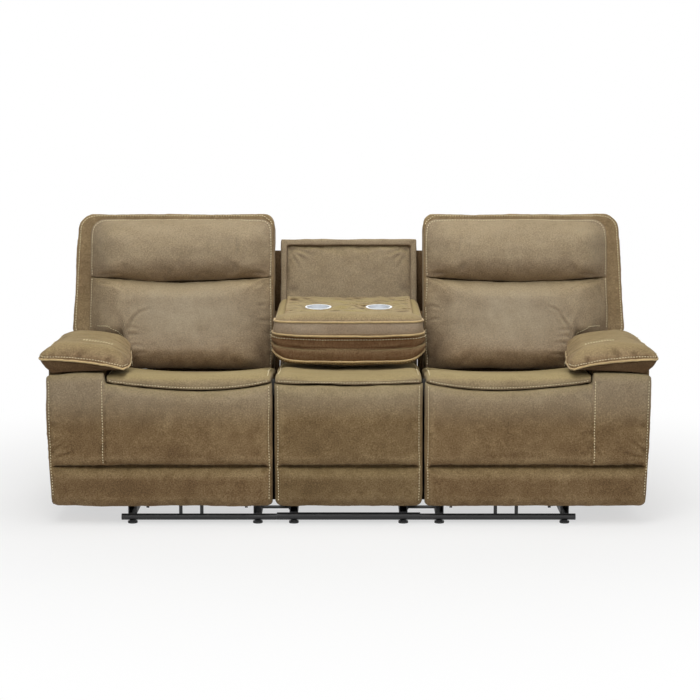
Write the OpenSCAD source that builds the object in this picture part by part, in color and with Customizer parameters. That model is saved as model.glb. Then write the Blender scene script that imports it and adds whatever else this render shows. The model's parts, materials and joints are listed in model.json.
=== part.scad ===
// Power reclining sofa: two reclining end seats, and between them a fixed seat whose back folds
// forward into a table with two cup holders. Sizes are in millimetres. X runs along the sofa,
// the front faces -Y and the floor is Z = 0. The right hand unit is drawn and mirrored for the left.

/* [Overall] */
// Depth of the sofa with its backs upright
sofa_d = 940; // [900:2:980]

/* [Seats] */
// Width of the centre seat
centre_w = 505; // [440:5:640]
// Gap between the centre seat and each end seat
unit_gap = 13; // [10:1:30]
// Width of a reclining seat cushion
seat_w = 564; // [520:2:680]
// Height of the seat crest above the floor
seat_top = 524; // [518:1:550]
// Height of the deck that carries the seat cushions
seat_deck_z = 457; // [445:1:465]
// Where the seat cushions end, behind the reference line
seat_rear_y = 46; // [20:1:50]
// Height of the seam under the seat lip, at its lowest
seam_z = 487; // [482:1:493]
// How much higher that seam runs at the cushion's ends
seam_rise = 22; // [0:1:24]

/* [Front panels] */
// Height of the panels' lower edge
panel_z = 63; // [50:1:80]
// Height of the sewn crease across the panels
crease_z = 205; // [150:5:300]
// Thickness of the panel padding
panel_pad_t = 45; // [30:1:60]
// Thickness of the board behind the padding
panel_board_t = 15; // [9:1:18]
// Gap between the panel's top and the seat lip
lip_gap = 11; // [8:1:16]
// Radius of the panels' lower corners
panel_r = 52; // [20:1:60]

/* [Arms] */
// Width of an arm box
arm_w = 203; // [170:1:260]
// Height of an arm box
arm_h = 545; // [535:1:555]
// Where an arm box ends at the rear
arm_rear_y = 400; // [390:2:430]
// Gap between the seat cushion and the arm
arm_gap = 6; // [4:1:12]
// Thickness of the arm boards
arm_board_t = 16; // [12:1:20]
// Thickness of the padded outer side
arm_side_t = 11; // [10:1:13]
// Thickness of the other arm covers
cover_t = 4; // [3:0.5:5]
// How far the pillow stands out over the arm's outer side
pad_out = 19; // [10:1:30]
// How far the pillow reaches over the seat
pad_in = 78; // [40:1:90]
// Height of the pillow at the front
pad_h = 90; // [70:1:100]
// Where the pillow ends, behind the reference line
pad_rear_y = 74; // [40:1:78]

/* [Backs] */
// Lean of the backs
back_lean = 14; // [12:0.5:15]
// Height of the recline pivot
back_pivot_z = 420; // [416:1:424]
// Length of a back above its pivot
back_len = 615; // [600:5:660]
// Distance from the pivot to the back's rear face
back_rear = 150; // [146:1:154]
// Distance from the pivot to the face that carries the cushions
back_face = 40; // [36:1:44]
// Thickness of the back cushions
back_pad_t = 88; // [70:1:92]
// Length of a back below its pivot
back_drop = 150; // [120:5:155]
// Height of the crease between the lumbar and head cushions above the pivot
head_z = 360; // [340:5:400]
// Height of the wings' lower edge above the pivot
wing_z = 130; // [126:1:140]
// Width of the outer border of a back
border_out = 75; // [60:1:90]
// Width of the top border
border_top = 20; // [16:1:30]
// Width of the inner border
border_in = 11; // [9:1:16]
// Radius of the backs' outer top corners
back_r = 62; // [30:1:80]
// Thickness of the back covers
back_cover_t = 5; // [4:0.5:6]
// Width of the back frame's tubes
back_tube = 24; // [20:1:28]

/* [Folding table] */
// Height of the table's pivot
table_pivot_z = 600; // [597:1:604]
// Distance of the table's pivot behind the reference line
table_pivot_y = 175; // [170:1:178]
// Length of the table in front of its pivot
table_len = 432; // [400:4:440]
// Length of the table behind its pivot
table_tail = 87; // [70:1:88]
// Height of the table's top above its pivot
table_up = 113; // [106:1:114]
// Depth of the table's underside below its pivot
table_down = 71; // [60:1:73]
// Half width of the table at its widest
table_half = 276; // [262:1:277]
// Slope of the table's top when it is folded
table_slope = 4; // [3:0.5:5]
// Width of the tray board
tray_w = 464; // [420:2:470]
// Thickness of the tray board
tray_t = 12; // [9:1:15]
// Distance from the pivot to the front edge of the tray
tray_len = 275; // [250:5:290]
// Diameter of a cup holder's bore
cup_d = 86; // [76:1:90]
// Width of a cup holder's rim
cup_rim = 5; // [4:0.5:7]
// Depth of a cup holder
cup_depth = 62; // [50:1:70]
// Distance between the cup holders
cup_span = 222; // [200:2:230]
// Distance of the cup holders in front of the pivot
cup_y = 148; // [120:2:180]

/* [Reclining mechanism] */
// Distance between the side plates' outer faces
plates_w = 386; // [350:2:400]
// Thickness of the mechanism's plates and links
link_t = 4; // [3:0.5:4.5]
// Width of a link
link_w = 20; // [16:1:21]
// Length of the lift links and the reach links
link_len = 235; // [230:1:238]
// Length of the guide links that steer the reach links
guide_len = 254; // [246:1:262]
// Angle of the lift link below the horizontal when closed
lift_down = 78; // [76:0.5:80]
// Angle that the lift link turns through
lift_turn = 90; // [86:1:90]
// Angle of the reach link above the horizontal when closed
reach_up = 74; // [73:0.5:75]
// Angle of the reach link above the horizontal when open
reach_open = 10; // [8:0.5:12]
// Distance of the lift pivot in front of the reference line
lift_u = 275; // [272:1:277]
// Height of the lift pivot
lift_z = 318; // [315:1:320]
// Length of the tails that the guide links hold
tail = 46; // [42:1:48]
// Diameter of the pivot pins
pin_d = 8; // [6:0.5:9]
// Clearance between a pin and its hole, on the radius
pin_fit = 0.05; // [0.02:0.01:0.1]
// Gap between neighbouring links
link_gap = 1; // [0.6:0.1:1.2]
// Travel of the drive block on its rail
drive_travel = 150; // [120:5:155]

/* [Base] */
// Distance between the base rails' centre lines
rails_w = 436; // [432:2:446]
// Width of a base rail
rail_w = 30; // [26:1:32]
// Height of a base rail
rail_h = 30; // [26:1:32]
// Diameter of the cross tubes
tube_d = 22; // [18:1:24]
// Height of the floor glides
glide_h = 10; // [8:1:12]
// Distance from the reference line to the front tube
tube_front = 418; // [412:1:424]
// Distance from the reference line to the rear tube
tube_rear = 280; // [260:5:300]

/* [Controls] */
// Diameter of a button
button_d = 17; // [14:0.5:19]
// Height of a button above its plate
button_h = 3; // [2.5:0.5:5]
// Distance between the two buttons of a pair
button_span = 30; // [28:1:40]
// Distance of the buttons in front of the reference line
button_u = 300; // [240:5:340]
// Height of the buttons above the floor
button_z = 430; // [380:5:470]

/* [Hidden] */
$fn = 24;

brown = [0.33, 0.24, 0.18];
tan = [0.45, 0.38, 0.27];
red_brown = [0.36, 0.23, 0.17];
black = [0.1, 0.1, 0.1];
plywood = [0.72, 0.58, 0.4];
steel = [0.75, 0.76, 0.78];

// Clearance between a soft piece and what it lies against
soft_fit = 0.4;
// Overlap of pieces that are welded or glued into one
weld = 0.5;

// Places along the sofa
centre_x = centre_w / 2;
panel_x = centre_x + unit_gap;
seat_x0 = panel_x + 2.5;
seat_x1 = seat_x0 + seat_w;
arm_x0 = seat_x1 + arm_gap;
arm_x1 = arm_x0 + arm_w;
side_x = arm_x1 - arm_side_t;
pad_x0 = arm_x0 - pad_in;
pad_x1 = arm_x1 + pad_out;
mech_shift = 16;
mech_x = (seat_x0 + seat_x1) / 2 - mech_shift;
back_x0 = panel_x + 16;
back_x1 = side_x - 3;
neck_x1 = arm_x0 - 73;

// Places from front to rear
front_y = -sofa_d / 2;
pad_back_y = front_y + panel_pad_t;
board_back_y = pad_back_y + panel_board_t;
arm_front_y = board_back_y + 5;
frame_front_y = arm_front_y + cover_t;
nose_y = front_y + 10;
arm_top_y = 150;
back_pivot_y = sofa_d / 2 - back_rear * cos(back_lean) - back_len * sin(back_lean);

// Heights
rail_z = glide_h + tube_d - weld;
box_z = rail_z + rail_h + 4;
seat_frame_z = seat_deck_z - 57;
arm_panel_z = arm_h - 17;
frame_top_z = arm_h - cover_t;

function mix(a, b, t) = a + (b - a) * t;
function clamp(t) = min(1, max(0, t));
function ease(t) = let (c = clamp(t)) c * c * (3 - 2 * c);
// Fullness across a cushion: 1 in the middle and 0 at s = 1 and s = -1
function full(s, n) = pow(max(0, 1 - pow(abs(s), n)), 1 / n);
// Stations from -1 to 1 that crowd together towards the ends
function stations(n) = [for (i = [0:n]) sin(-90 + 180 * i / n)];
function ray(a) = [cos(a), sin(a)];
function middle(points) = [for (p = points) 1] * points / len(points);

// Closed skin over rings that all have the same number of points
module skin(rings) {
    n = len(rings[0]);
    last = len(rings) - 1;
    points = concat([for (r = rings) each r], [middle(rings[0]), middle(rings[last])]);
    walls = [for (i = [0:last - 1], j = [0:n - 1])
        let (a = i * n + j, b = i * n + (j + 1) % n) each [[a, b, b + n], [a, b + n, a + n]]];
    caps = [for (j = [0:n - 1]) let (k = (j + 1) % n)
        each [[k, j, (last + 1) * n], [last * n + j, last * n + k, (last + 1) * n + 1]]];
    polyhedron(points, concat(walls, caps));
}

// The right hand piece, or its mirror image
module hand(s) {
    if (s < 0) mirror([1, 0, 0]) children();
    else children();
}

// Slab between two places along X, from an outline drawn in Y and Z
module slab(x0, x1) {
    translate([x0, 0, 0]) rotate([90, 0, 90]) linear_extrude(x1 - x0) children();
}

// Slab between two places along Y, from an outline drawn in X and Z
module sheet(y0, y1) {
    translate([0, y1, 0]) rotate([90, 0, 0]) linear_extrude(y1 - y0) children();
}

module block(low, high) {
    translate(low) cube(high - low);
}

module rod_x(x0, x1, y, z, d) {
    translate([x0, y, z]) rotate([0, 90, 0]) cylinder(d = d, h = x1 - x0);
}

module panel_2d(x0, z0, x1, z1) {
    translate([x0, z0]) square([x1 - x0, z1 - z0]);
}

// Base
centre_rail_x = centre_x - 62;
inner_rail_x = mech_x - rails_w / 2;
outer_rail_x = mech_x + rails_w / 2;

// Rail with a slot along its top, between two heights
module rail(x, z0, z1) {
    wall = 3;
    y0 = -tube_front - 2;
    y1 = tube_rear + tube_d;
    difference() {
        block([x - rail_w / 2, y0, z0], [x + rail_w / 2, y1, z1]);
        block([x - rail_w / 2 + wall, y0 - 1, z0 + wall], [x + rail_w / 2 - wall, y1 + 1, z1 - wall]);
        block([x - 5, y0 - 1, z1 - wall - 1], [x + 5, y1 + 1, z1 + 1]);
    }
}

module base_rails(s) {
    strap_w = 12;
    joint_x = centre_rail_x + rail_w / 2;
    side = outer_rail_x + rail_w / 2 - weld;
    color(black) hand(s) {
        for (x = [inner_rail_x, outer_rail_x]) rail(x, rail_z, rail_z + rail_h);
        for (y = [-tube_front, tube_rear])
            rod_x(centre_x - 2.5, outer_rail_x + 38, y, glide_h + tube_d / 2, tube_d);
        for (y = [-380, 230]) {
            block([joint_x, y, rail_z + 6], [joint_x + 4, y + 30, rail_z + 24]);
            block([joint_x, y, rail_z + 10], [inner_rail_x - rail_w / 2 + weld, y + 30, rail_z + 14]);
        }
        for (y = [-300, 180]) {
            block([side, y, rail_z + 6], [side + 4, y + 60, panel_z]);
            block([side, y, panel_z - 4], [arm_x0 + cover_t + 40, y + 60, panel_z]);
        }
        for (x = [inner_rail_x + 195, inner_rail_x + 268])
            block([x - strap_w / 2, -tube_front - 2, rail_z - 6],
                  [x + strap_w / 2, -tube_front + 2, panel_z + 5]);
    }
}

module centre_base_frame() {
    bar_d = tube_d + 4;
    color(black) {
        for (x = [-centre_rail_x, centre_rail_x]) rail(x, glide_h + bar_d - weld, box_z);
        for (y = [-tube_front, tube_rear])
            rod_x(-centre_x + 3, centre_x - 3, y, glide_h + bar_d / 2, bar_d);
    }
}

module floor_glides() {
    color(black)
        for (s = [-1, 1], y = [-tube_front, tube_rear],
             x = [centre_rail_x, inner_rail_x, outer_rail_x])
            translate([s * x, y, 0]) {
                cylinder(d = 34, h = glide_h - 4);
                cylinder(d = 20, h = glide_h - 0.1);
            }
}

module power_inlet() {
    w = 46;
    h = 30;
    socket_d = 9;
    y0 = tube_rear + tube_d + weld;
    color(black) difference() {
        block([-w / 2, tube_rear + 6, glide_h + 6], [w / 2, y0 + 22, glide_h + 6 + h]);
        rod_x(-centre_x, centre_x, tube_rear, glide_h + tube_d / 2 + 2, tube_d + 4.2);
        translate([0, y0 + 8, glide_h + 6 + h / 2]) rotate([-90, 0, 0])
            cylinder(d = socket_d, h = 30);
    }
}

// Arms
dip_y = 290;
dip_z = 375;

// Outline of the arm's inner side, which dips behind to let the back's wing pass. The board
// under the cover is lower by drop
module arm_inner_2d(y0, y1, z0, z1, drop) {
    polygon([[y0, z0], [y0, z1], [arm_top_y - drop, z1], [dip_y - drop, dip_z - drop],
             [y1, dip_z - drop], [y1, z0]]);
}

module arm_frame(s) {
    x0 = arm_x0 + cover_t;
    y1 = arm_rear_y - cover_t;
    color(plywood) hand(s) {
        slab(x0, x0 + arm_board_t)
            arm_inner_2d(frame_front_y, y1, panel_z, frame_top_z, cover_t);
        block([x0, frame_front_y, frame_top_z - arm_board_t],
              [side_x, arm_top_y - cover_t, frame_top_z]);
        block([x0, frame_front_y, panel_z], [side_x, frame_front_y + arm_board_t, frame_top_z]);
        block([x0, y1 - arm_board_t, panel_z], [side_x, y1, dip_z - cover_t]);
        for (y = [frame_front_y, 0, y1 - 60])
            block([x0, y, panel_z], [side_x, y + 60, panel_z + arm_board_t]);
    }
}

module arm_cover(s) {
    corner = 60;
    color(brown) hand(s) {
        difference() {
            slab(side_x, arm_x1) {
                polygon([[arm_front_y, panel_z], [arm_front_y, arm_h],
                         [arm_rear_y - corner, arm_h], [arm_rear_y - corner, arm_h - corner],
                         [arm_rear_y, arm_h - corner], [arm_rear_y, panel_z]]);
                translate([arm_rear_y - corner, arm_h - corner]) circle(corner);
            }
            for (i = [-0.5, 0.5])
                rod_x(side_x + 2, arm_x1 + 1, -button_u + i * button_span, button_z,
                      button_d + 2);
        }
        slab(arm_x0, arm_x0 + cover_t) arm_inner_2d(arm_front_y, arm_rear_y, panel_z, arm_h, 0);
        slab(arm_x0, side_x + weld)
            polygon([[arm_top_y - cover_t, arm_h], [arm_top_y, arm_h], [dip_y, dip_z],
                     [arm_rear_y, dip_z], [arm_rear_y, dip_z - cover_t],
                     [dip_y - cover_t, dip_z - cover_t], [arm_top_y - cover_t, frame_top_z]]);
        block([arm_x0, arm_front_y, arm_h - cover_t], [side_x + weld, arm_top_y, arm_h]);
        block([arm_x0, arm_front_y, panel_z], [side_x + weld, frame_front_y, arm_h]);
        block([arm_x0, arm_rear_y - cover_t, panel_z], [side_x + weld, arm_rear_y, dip_z]);
    }
}

// Pillow on the arm, with a flat underside and a crown that is lower at the rear
module arm_pad(s) {
    base = arm_h + soft_fit;
    crown = [[0, 0.16], [0.03, 0.42], [0.1, 0.7], [0.22, 0.88], [0.38, 0.98], [0.55, 1],
             [0.7, 0.95], [0.83, 0.8], [0.93, 0.58], [0.99, 0.36], [1, 0.2]];
    color(brown) hand(s) skin([for (e = -stations(12))
        let (y = mix(front_y, pad_rear_y, (e + 1) / 2), f = 0.45 + 0.55 * full(e, 6),
             h = mix(pad_h, pad_h - 27, (e + 1) / 2) * f, inset = 22 * (1 - f),
             x0 = pad_x0 + inset, x1 = pad_x1 - inset)
        concat([for (c = crown) [mix(x0, x1, c[0]), y, base + h * c[1]]],
               [for (t = [0.95, 0.5, 0.05]) [mix(x0, x1, t), y, base]])]);
}

module switch_plate(s) {
    w = 72;
    h = 48;
    t = 3;
    color(black) hand(s) difference() {
        block([arm_x1, -button_u - w / 2, button_z - h / 2],
              [arm_x1 + t, -button_u + w / 2, button_z + h / 2]);
        for (i = [-0.5, 0.5])
            rod_x(arm_x1 - 1, arm_x1 + t + 1, -button_u + i * button_span, button_z,
                  button_d + 0.2);
    }
}

module button(s, i) {
    color(black) hand(s)
        rod_x(side_x + 5, arm_x1 + 3 + button_h, -button_u + i * button_span, button_z, button_d);
}

// Front panel, padded over a board and sewn across by a crease, from its stations along X
// and the height of its top at each
module front_pad(xs, tops) {
    back = pad_back_y - soft_fit;
    last = len(xs) - 1;
    skin([for (i = [0:last])
        let (x = xs[i], e = 2 * (x - xs[0]) / (xs[last] - xs[0]) - 1,
             d = max(0, panel_r - min(x - xs[0], xs[last] - x)), f = 0.6 + 0.4 * full(e, 10),
             z0 = panel_z + panel_r - sqrt(max(0, panel_r * panel_r - d * d)),
             t = (panel_pad_t - soft_fit) * f)
        concat([[x, back, z0 + 5]],
               [for (k = [0.0, 0.07, 0.25, 0.6, 0.9])
                   [x, back - t * (0.62 + 0.38 * full(2 * k - 0.98, 4)),
                    mix(z0, crease_z - 2, k)]],
               [[x, back - t * 0.6, crease_z]],
               [for (k = [0.03, 0.15, 0.45, 0.8, 0.95, 1])
                   [x, back - t * (0.55 + 0.45 * full(2 * k - 1, 4)),
                    mix(crease_z + 2, tops[i], k)]],
               [[x, back, tops[i] - 4]])]);
}

// Height of the seam under the seat lip
function seam(x, x0, x1) = seam_z + seam_rise * pow((2 * x - x0 - x1) / (x1 - x0), 2);

module legrest_pad(s) {
    seat_side = [for (e = stations(14)) mix(panel_x, arm_x0 - 4, (e + 1) / 2)];
    arm_side = [for (e = stations(8)) mix(arm_x0 + 5, arm_x1, (e + 1) / 2)];
    color(brown) hand(s)
        front_pad(concat(seat_side, arm_side), concat(
            [for (x = seat_side) seam(min(x, seat_x1), seat_x0, seat_x1) - lip_gap],
            [for (x = arm_side) arm_panel_z]));
}

module centre_front_pad() {
    xs = [for (e = stations(18)) centre_x * e];
    color(brown) front_pad(xs, [for (x = xs) seam(x, -centre_x, centre_x) - lip_gap / 2]);
}

module legrest_board(s) {
    inset = 10;
    color(plywood) hand(s) sheet(pad_back_y, board_back_y) {
        panel_2d(panel_x + inset, panel_z + inset, arm_x1 - inset, seam_z - lip_gap - inset);
        panel_2d(arm_x0 + inset, panel_z + inset, arm_x1 - inset, arm_panel_z - inset);
    }
}

// Seat cushion with a nose that overhangs the front panel
module seat_skin(x0, x1) {
    z0 = seat_deck_z + soft_fit;
    skin([for (e = stations(14))
        let (x = mix(x0, x1, (e + 1) / 2), f = full(e, 7), low = seam(x, x0, x1),
             crest = mix(max(low + 6, seat_top - 16), seat_top, f),
             nose = mix(nose_y + 8, nose_y, f), rear = seat_rear_y)
        [[x, rear, z0 + 8], [x, rear - 8, z0], [x, frame_front_y + 1, z0],
         [x, arm_front_y + 1, low], [x, nose + 7, low + 1], [x, nose, mix(low, crest, 0.4)],
         [x, nose + 6, mix(low, crest, 0.75)], [x, nose + 26, crest - 3],
         [x, nose + 70, crest], [x, nose + 150, crest], [x, -200, crest - 3],
         [x, -80, crest - 9], [x, rear - 40, crest - 15], [x, rear - 4, crest - 26]]]);
}

module seat_cushion(s) {
    color(tan) hand(s) seat_skin(seat_x0, seat_x1);
}

module centre_seat_cushion() {
    color(tan) seat_skin(-centre_x + 0.5, centre_x - 0.5);
}

module seat_frame(s) {
    rail_t = 40;
    y1 = seat_rear_y - 16;
    x0 = seat_x0 + 12;
    x1 = seat_x1 - 12;
    strips = 5;
    color(plywood) hand(s) {
        difference() {
            block([x0, frame_front_y, seat_frame_z], [x1, y1, seat_deck_z]);
            block([x0 + rail_t, frame_front_y + rail_t, seat_frame_z - 1],
                  [x1 - rail_t, y1 - rail_t, seat_deck_z + 1]);
        }
        for (i = [1:strips])
            translate([mix(x0 + rail_t, x1 - rail_t, i / (strips + 1)), 0, 0])
                block([-12, frame_front_y + 1, seat_deck_z - 6], [12, y1 - 1, seat_deck_z]);
    }
}

centre_frame_y = 100;

module centre_seat_frame() {
    x1 = centre_x - 10;
    wall = 15;
    color(plywood) {
        difference() {
            block([-x1, frame_front_y, box_z], [x1, centre_frame_y, seat_deck_z]);
            block([-x1 + wall, frame_front_y + wall, box_z - 1],
                  [x1 - wall, centre_frame_y - wall, seat_deck_z - wall]);
        }
        block([-x1, pad_back_y, panel_z + 10], [x1, frame_front_y + 1, seat_deck_z]);
    }
}

// Places a back's pieces: the pivot is at the origin and Z runs up the back
module back_place() {
    translate([0, back_pivot_y, back_pivot_z]) rotate([-back_lean, 0, 0]) children();
}

// Outline of a back seen from the front, drawn in by inset on its sides and top
module back_2d(inset) {
    r = back_r - inset;
    x1 = back_x1 - inset;
    z1 = back_len - inset;
    difference() {
        panel_2d(back_x0 + inset, -back_drop, x1, z1);
        panel_2d(neck_x1 - inset, -back_drop - 1, back_x1 + 1, wing_z + inset);
        difference() {
            panel_2d(x1 - r, z1 - r, x1 + 1, z1 + 1);
            translate([x1 - r, z1 - r]) circle(r);
        }
    }
}

module back_cover(s) {
    wall = back_cover_t;
    color(brown) hand(s) back_place() difference() {
        sheet(-back_face, back_rear) back_2d(0);
        sheet(-back_face + wall, back_rear - wall) difference() {
            back_2d(wall);
            panel_2d(back_x0 + wall, -back_drop - 1, back_x1, -back_drop + wall);
        }
        sheet(-back_face - 1, 60) panel_2d(back_x0 - 1, -back_drop - 1, neck_x1 + 1, 50);
        sheet(59, back_rear - wall)
            panel_2d(back_x0 + wall, -back_drop - 1, neck_x1 - wall, 51);
        sheet(-back_face - 1, -back_face + wall + 1) {
            panel_2d(back_x0 + 40, 90, neck_x1 - 40, back_len - 50);
            panel_2d(neck_x1 - 41, wing_z + 40, back_x1 - border_out - 20, back_len - 90);
        }
    }
}

hinge_arm_x = plates_w / 2 + link_gap;
frame_low = 62;

// Outline of the back frame's bars, each drawn in by g
module back_bars_2d(g) {
    x0 = back_x0 + 14 + g;
    x1 = back_x1 - 16 - g;
    neck = neck_x1 - 14 - g;
    low = frame_low + g;
    top = back_len - 14 - g;
    wing = wing_z + 12 + g;
    w = back_tube - 2 * g;
    panel_2d(x0, low, x0 + w, top);
    panel_2d(neck - w, low, neck, top);
    panel_2d(x1 - w, wing, x1, back_len - back_r - 8);
    panel_2d(x0, low, neck, low + w);
    panel_2d(neck - 1, wing, x1, wing + w);
    panel_2d(x0, top - w, x1 - back_r, top);
}

module back_frame(s) {
    y0 = -back_face + back_cover_t;
    y1 = y0 + back_tube;
    gauge = 3;
    strip_h = 14;
    strips = 5;
    color(black) hand(s) back_place() {
        difference() {
            sheet(y0, y1) back_bars_2d(0);
            sheet(y0 + gauge, y1 + 1) back_bars_2d(gauge);
        }
        for (i = [1:strips])
            sheet(y0, y0 + gauge)
                translate([0, mix(wing_z, back_len - 30, i / (strips + 1))])
                    panel_2d(back_x0 + 20, 0, back_x1 - 20, strip_h);
        translate([mech_x, 0, 0]) for (k = [-1, 1]) difference() {
            slab_at(k * (hinge_arm_x + link_t / 2), link_t) {
                circle(d = 36);
                polygon([[-18, 0], [y0, frame_low + 2], [y1, frame_low + 2], [18, 0]]);
            }
            rod_x(-plates_w, plates_w, 0, 0, pin_d + 2 * pin_fit);
        }
    }
}

// Slab of a given thickness centred on a place along X
module slab_at(x, t) {
    slab(x - t / 2, x + t / 2) children();
}

// Back cushion: a crowned pad with drawn-in ends, from its stations along X and the height of
// its lower edge at each
module back_skin(xs, lows, z1) {
    back = -back_face - soft_fit;
    last = len(xs) - 1;
    skin([for (i = [0:last])
        let (x = xs[i], f = 0.5 + 0.5 * full(2 * (x - xs[0]) / (xs[last] - xs[0]) - 1, 5),
             z0 = lows[i] + 12 * (1 - f), top = z1 - 14 * (1 - f), t = back_pad_t * f)
        concat([[x, back, top - 8]],
               [for (k = [1, 0.94, 0.82, 0.65, 0.48, 0.3, 0.14, 0.05, 0])
                   [x, back - t * (0.5 + 0.5 * full(2 * k - 1, 3)), mix(z0, top, k)]],
               [[x, back, z0 + 8], [x, back, mix(z0, top, 0.5)]])]);
}

// Stations along a back cushion
back_stations = [for (e = -stations(16))
    mix(back_x0 + border_in, back_x1 - border_out, (e + 1) / 2)];

// The lumbar cushion's lower edge, which climbs over the arm pillow
function lumbar_low(x) =
    let (start = neck_x1 - 16, over = (x - start) / (back_x1 - border_out - start))
    over <= 0 ? 22 : 22 + 138 * ease(over * 8) + 130 * pow(over, 1.7);

module lumbar_cushion(s) {
    color(red_brown) hand(s) back_place()
        back_skin(back_stations, [for (x = back_stations) lumbar_low(x)], head_z - 2);
}

module head_cushion(s) {
    color(brown) hand(s) back_place()
        back_skin(back_stations, [for (x = back_stations) head_z + 2], back_len - border_top);
}

// Centre back: a leaning board with a raised border, on two posts
recess_y = 102;
recess_border = 24;
centre_back_x = centre_x + 1.5;
centre_back_top = 541;

module centre_back_frame() {
    post_x = centre_rail_x + rail_w / 2;
    color(plywood) {
        back_place() {
            sheet(recess_y + 24, back_rear)
                panel_2d(-centre_back_x, -back_drop, centre_back_x, centre_back_top);
            sheet(recess_y, recess_y + 25) difference() {
                panel_2d(-centre_back_x, 0, centre_back_x, centre_back_top);
                panel_2d(-centre_back_x + recess_border, -1,
                         centre_back_x - recess_border, centre_back_top - recess_border);
            }
        }
        for (k = [-1, 1])
            block([k * (post_x - 15) - 15, tube_rear - 30, box_z],
                  [k * (post_x - 15) + 15, tube_rear + 16, 320]);
    }
}

module centre_back_panel() {
    x1 = centre_back_x - recess_border - 3;
    z1 = centre_back_top - recess_border - 3;
    t = 11;
    color(tan) back_place() skin([for (e = -stations(8))
        let (x = x1 * e, f = 0.4 + 0.6 * full(e, 4), back = recess_y + 24 - soft_fit)
        concat([[x, back, z1]],
               [for (k = [1, 0.9, 0.7, 0.3, 0.1, 0])
                   [x, back - t * (0.4 + 0.6 * full(2 * k - 1, 4)) * f, mix(4, z1, k)]],
               [[x, back, 4]])]);
}

// Folding table, drawn folded forward over the centre seat
bracket_x = 197;
bracket_t = 6;
arm_plate_x = bracket_x - link_gap - 5;

module table_place() {
    translate([0, table_pivot_y, table_pivot_z]) rotate([table_slope, 0, 0]) children();
}

module table_hinge_brackets() {
    color(black) for (k = [-1, 1]) difference() {
        slab_at(k * (bracket_x + bracket_t / 2), bracket_t) {
            polygon([[centre_frame_y, 300], [centre_frame_y + 70, 300],
                     [table_pivot_y + 18, table_pivot_z], [table_pivot_y - 18, table_pivot_z],
                     [centre_frame_y, 400]]);
            translate([table_pivot_y, table_pivot_z]) circle(d = 38);
        }
        rod_x(-centre_x, centre_x, table_pivot_y, table_pivot_z, 10 + 2 * pin_fit);
    }
}

module table_frame() {
    z1 = table_up - tray_t;
    color(black) table_place() {
        for (k = [-1, 1]) {
            slab_at(k * (arm_plate_x + 2.5), 5) {
                circle(d = 36);
                polygon([[-18, 0], [-40, z1 - 4 + weld], [40, z1 - 4 + weld], [18, 0]]);
            }
            rod_x(k > 0 ? arm_plate_x : -bracket_x - bracket_t - 3,
                  k > 0 ? bracket_x + bracket_t + 3 : -arm_plate_x, 0, 0, 10);
            block([k * (arm_plate_x - 8) - 13, -tray_len + 25, z1 - 4],
                  [k * (arm_plate_x - 8) + 13, 64, z1]);
        }
        for (y = [-tray_len + 25, 40])
            block([-arm_plate_x, y, z1 - 4], [arm_plate_x, y + 24, z1]);
    }
}

module table_tray() {
    color(tan) table_place() difference() {
        block([-tray_w / 2, -tray_len, table_up - tray_t],
              [tray_w / 2, table_tail - 18, table_up]);
        for (k = [-0.5, 0.5])
            translate([k * cup_span, -cup_y, 0]) cylinder(d = cup_d + 0.4, h = 200);
    }
}

module cup_holders() {
    wall = 1.5;
    color(steel) table_place() for (k = [-0.5, 0.5])
        translate([k * cup_span, -cup_y, table_up]) rotate_extrude() polygon([
            [0, -cup_depth], [cup_d / 2, -cup_depth], [cup_d / 2, 0],
            [cup_d / 2 + cup_rim, 0], [cup_d / 2 + cup_rim, wall],
            [cup_d / 2 - wall, wall], [cup_d / 2 - wall, -cup_depth + wall],
            [0, -cup_depth + wall]]);
}

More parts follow.
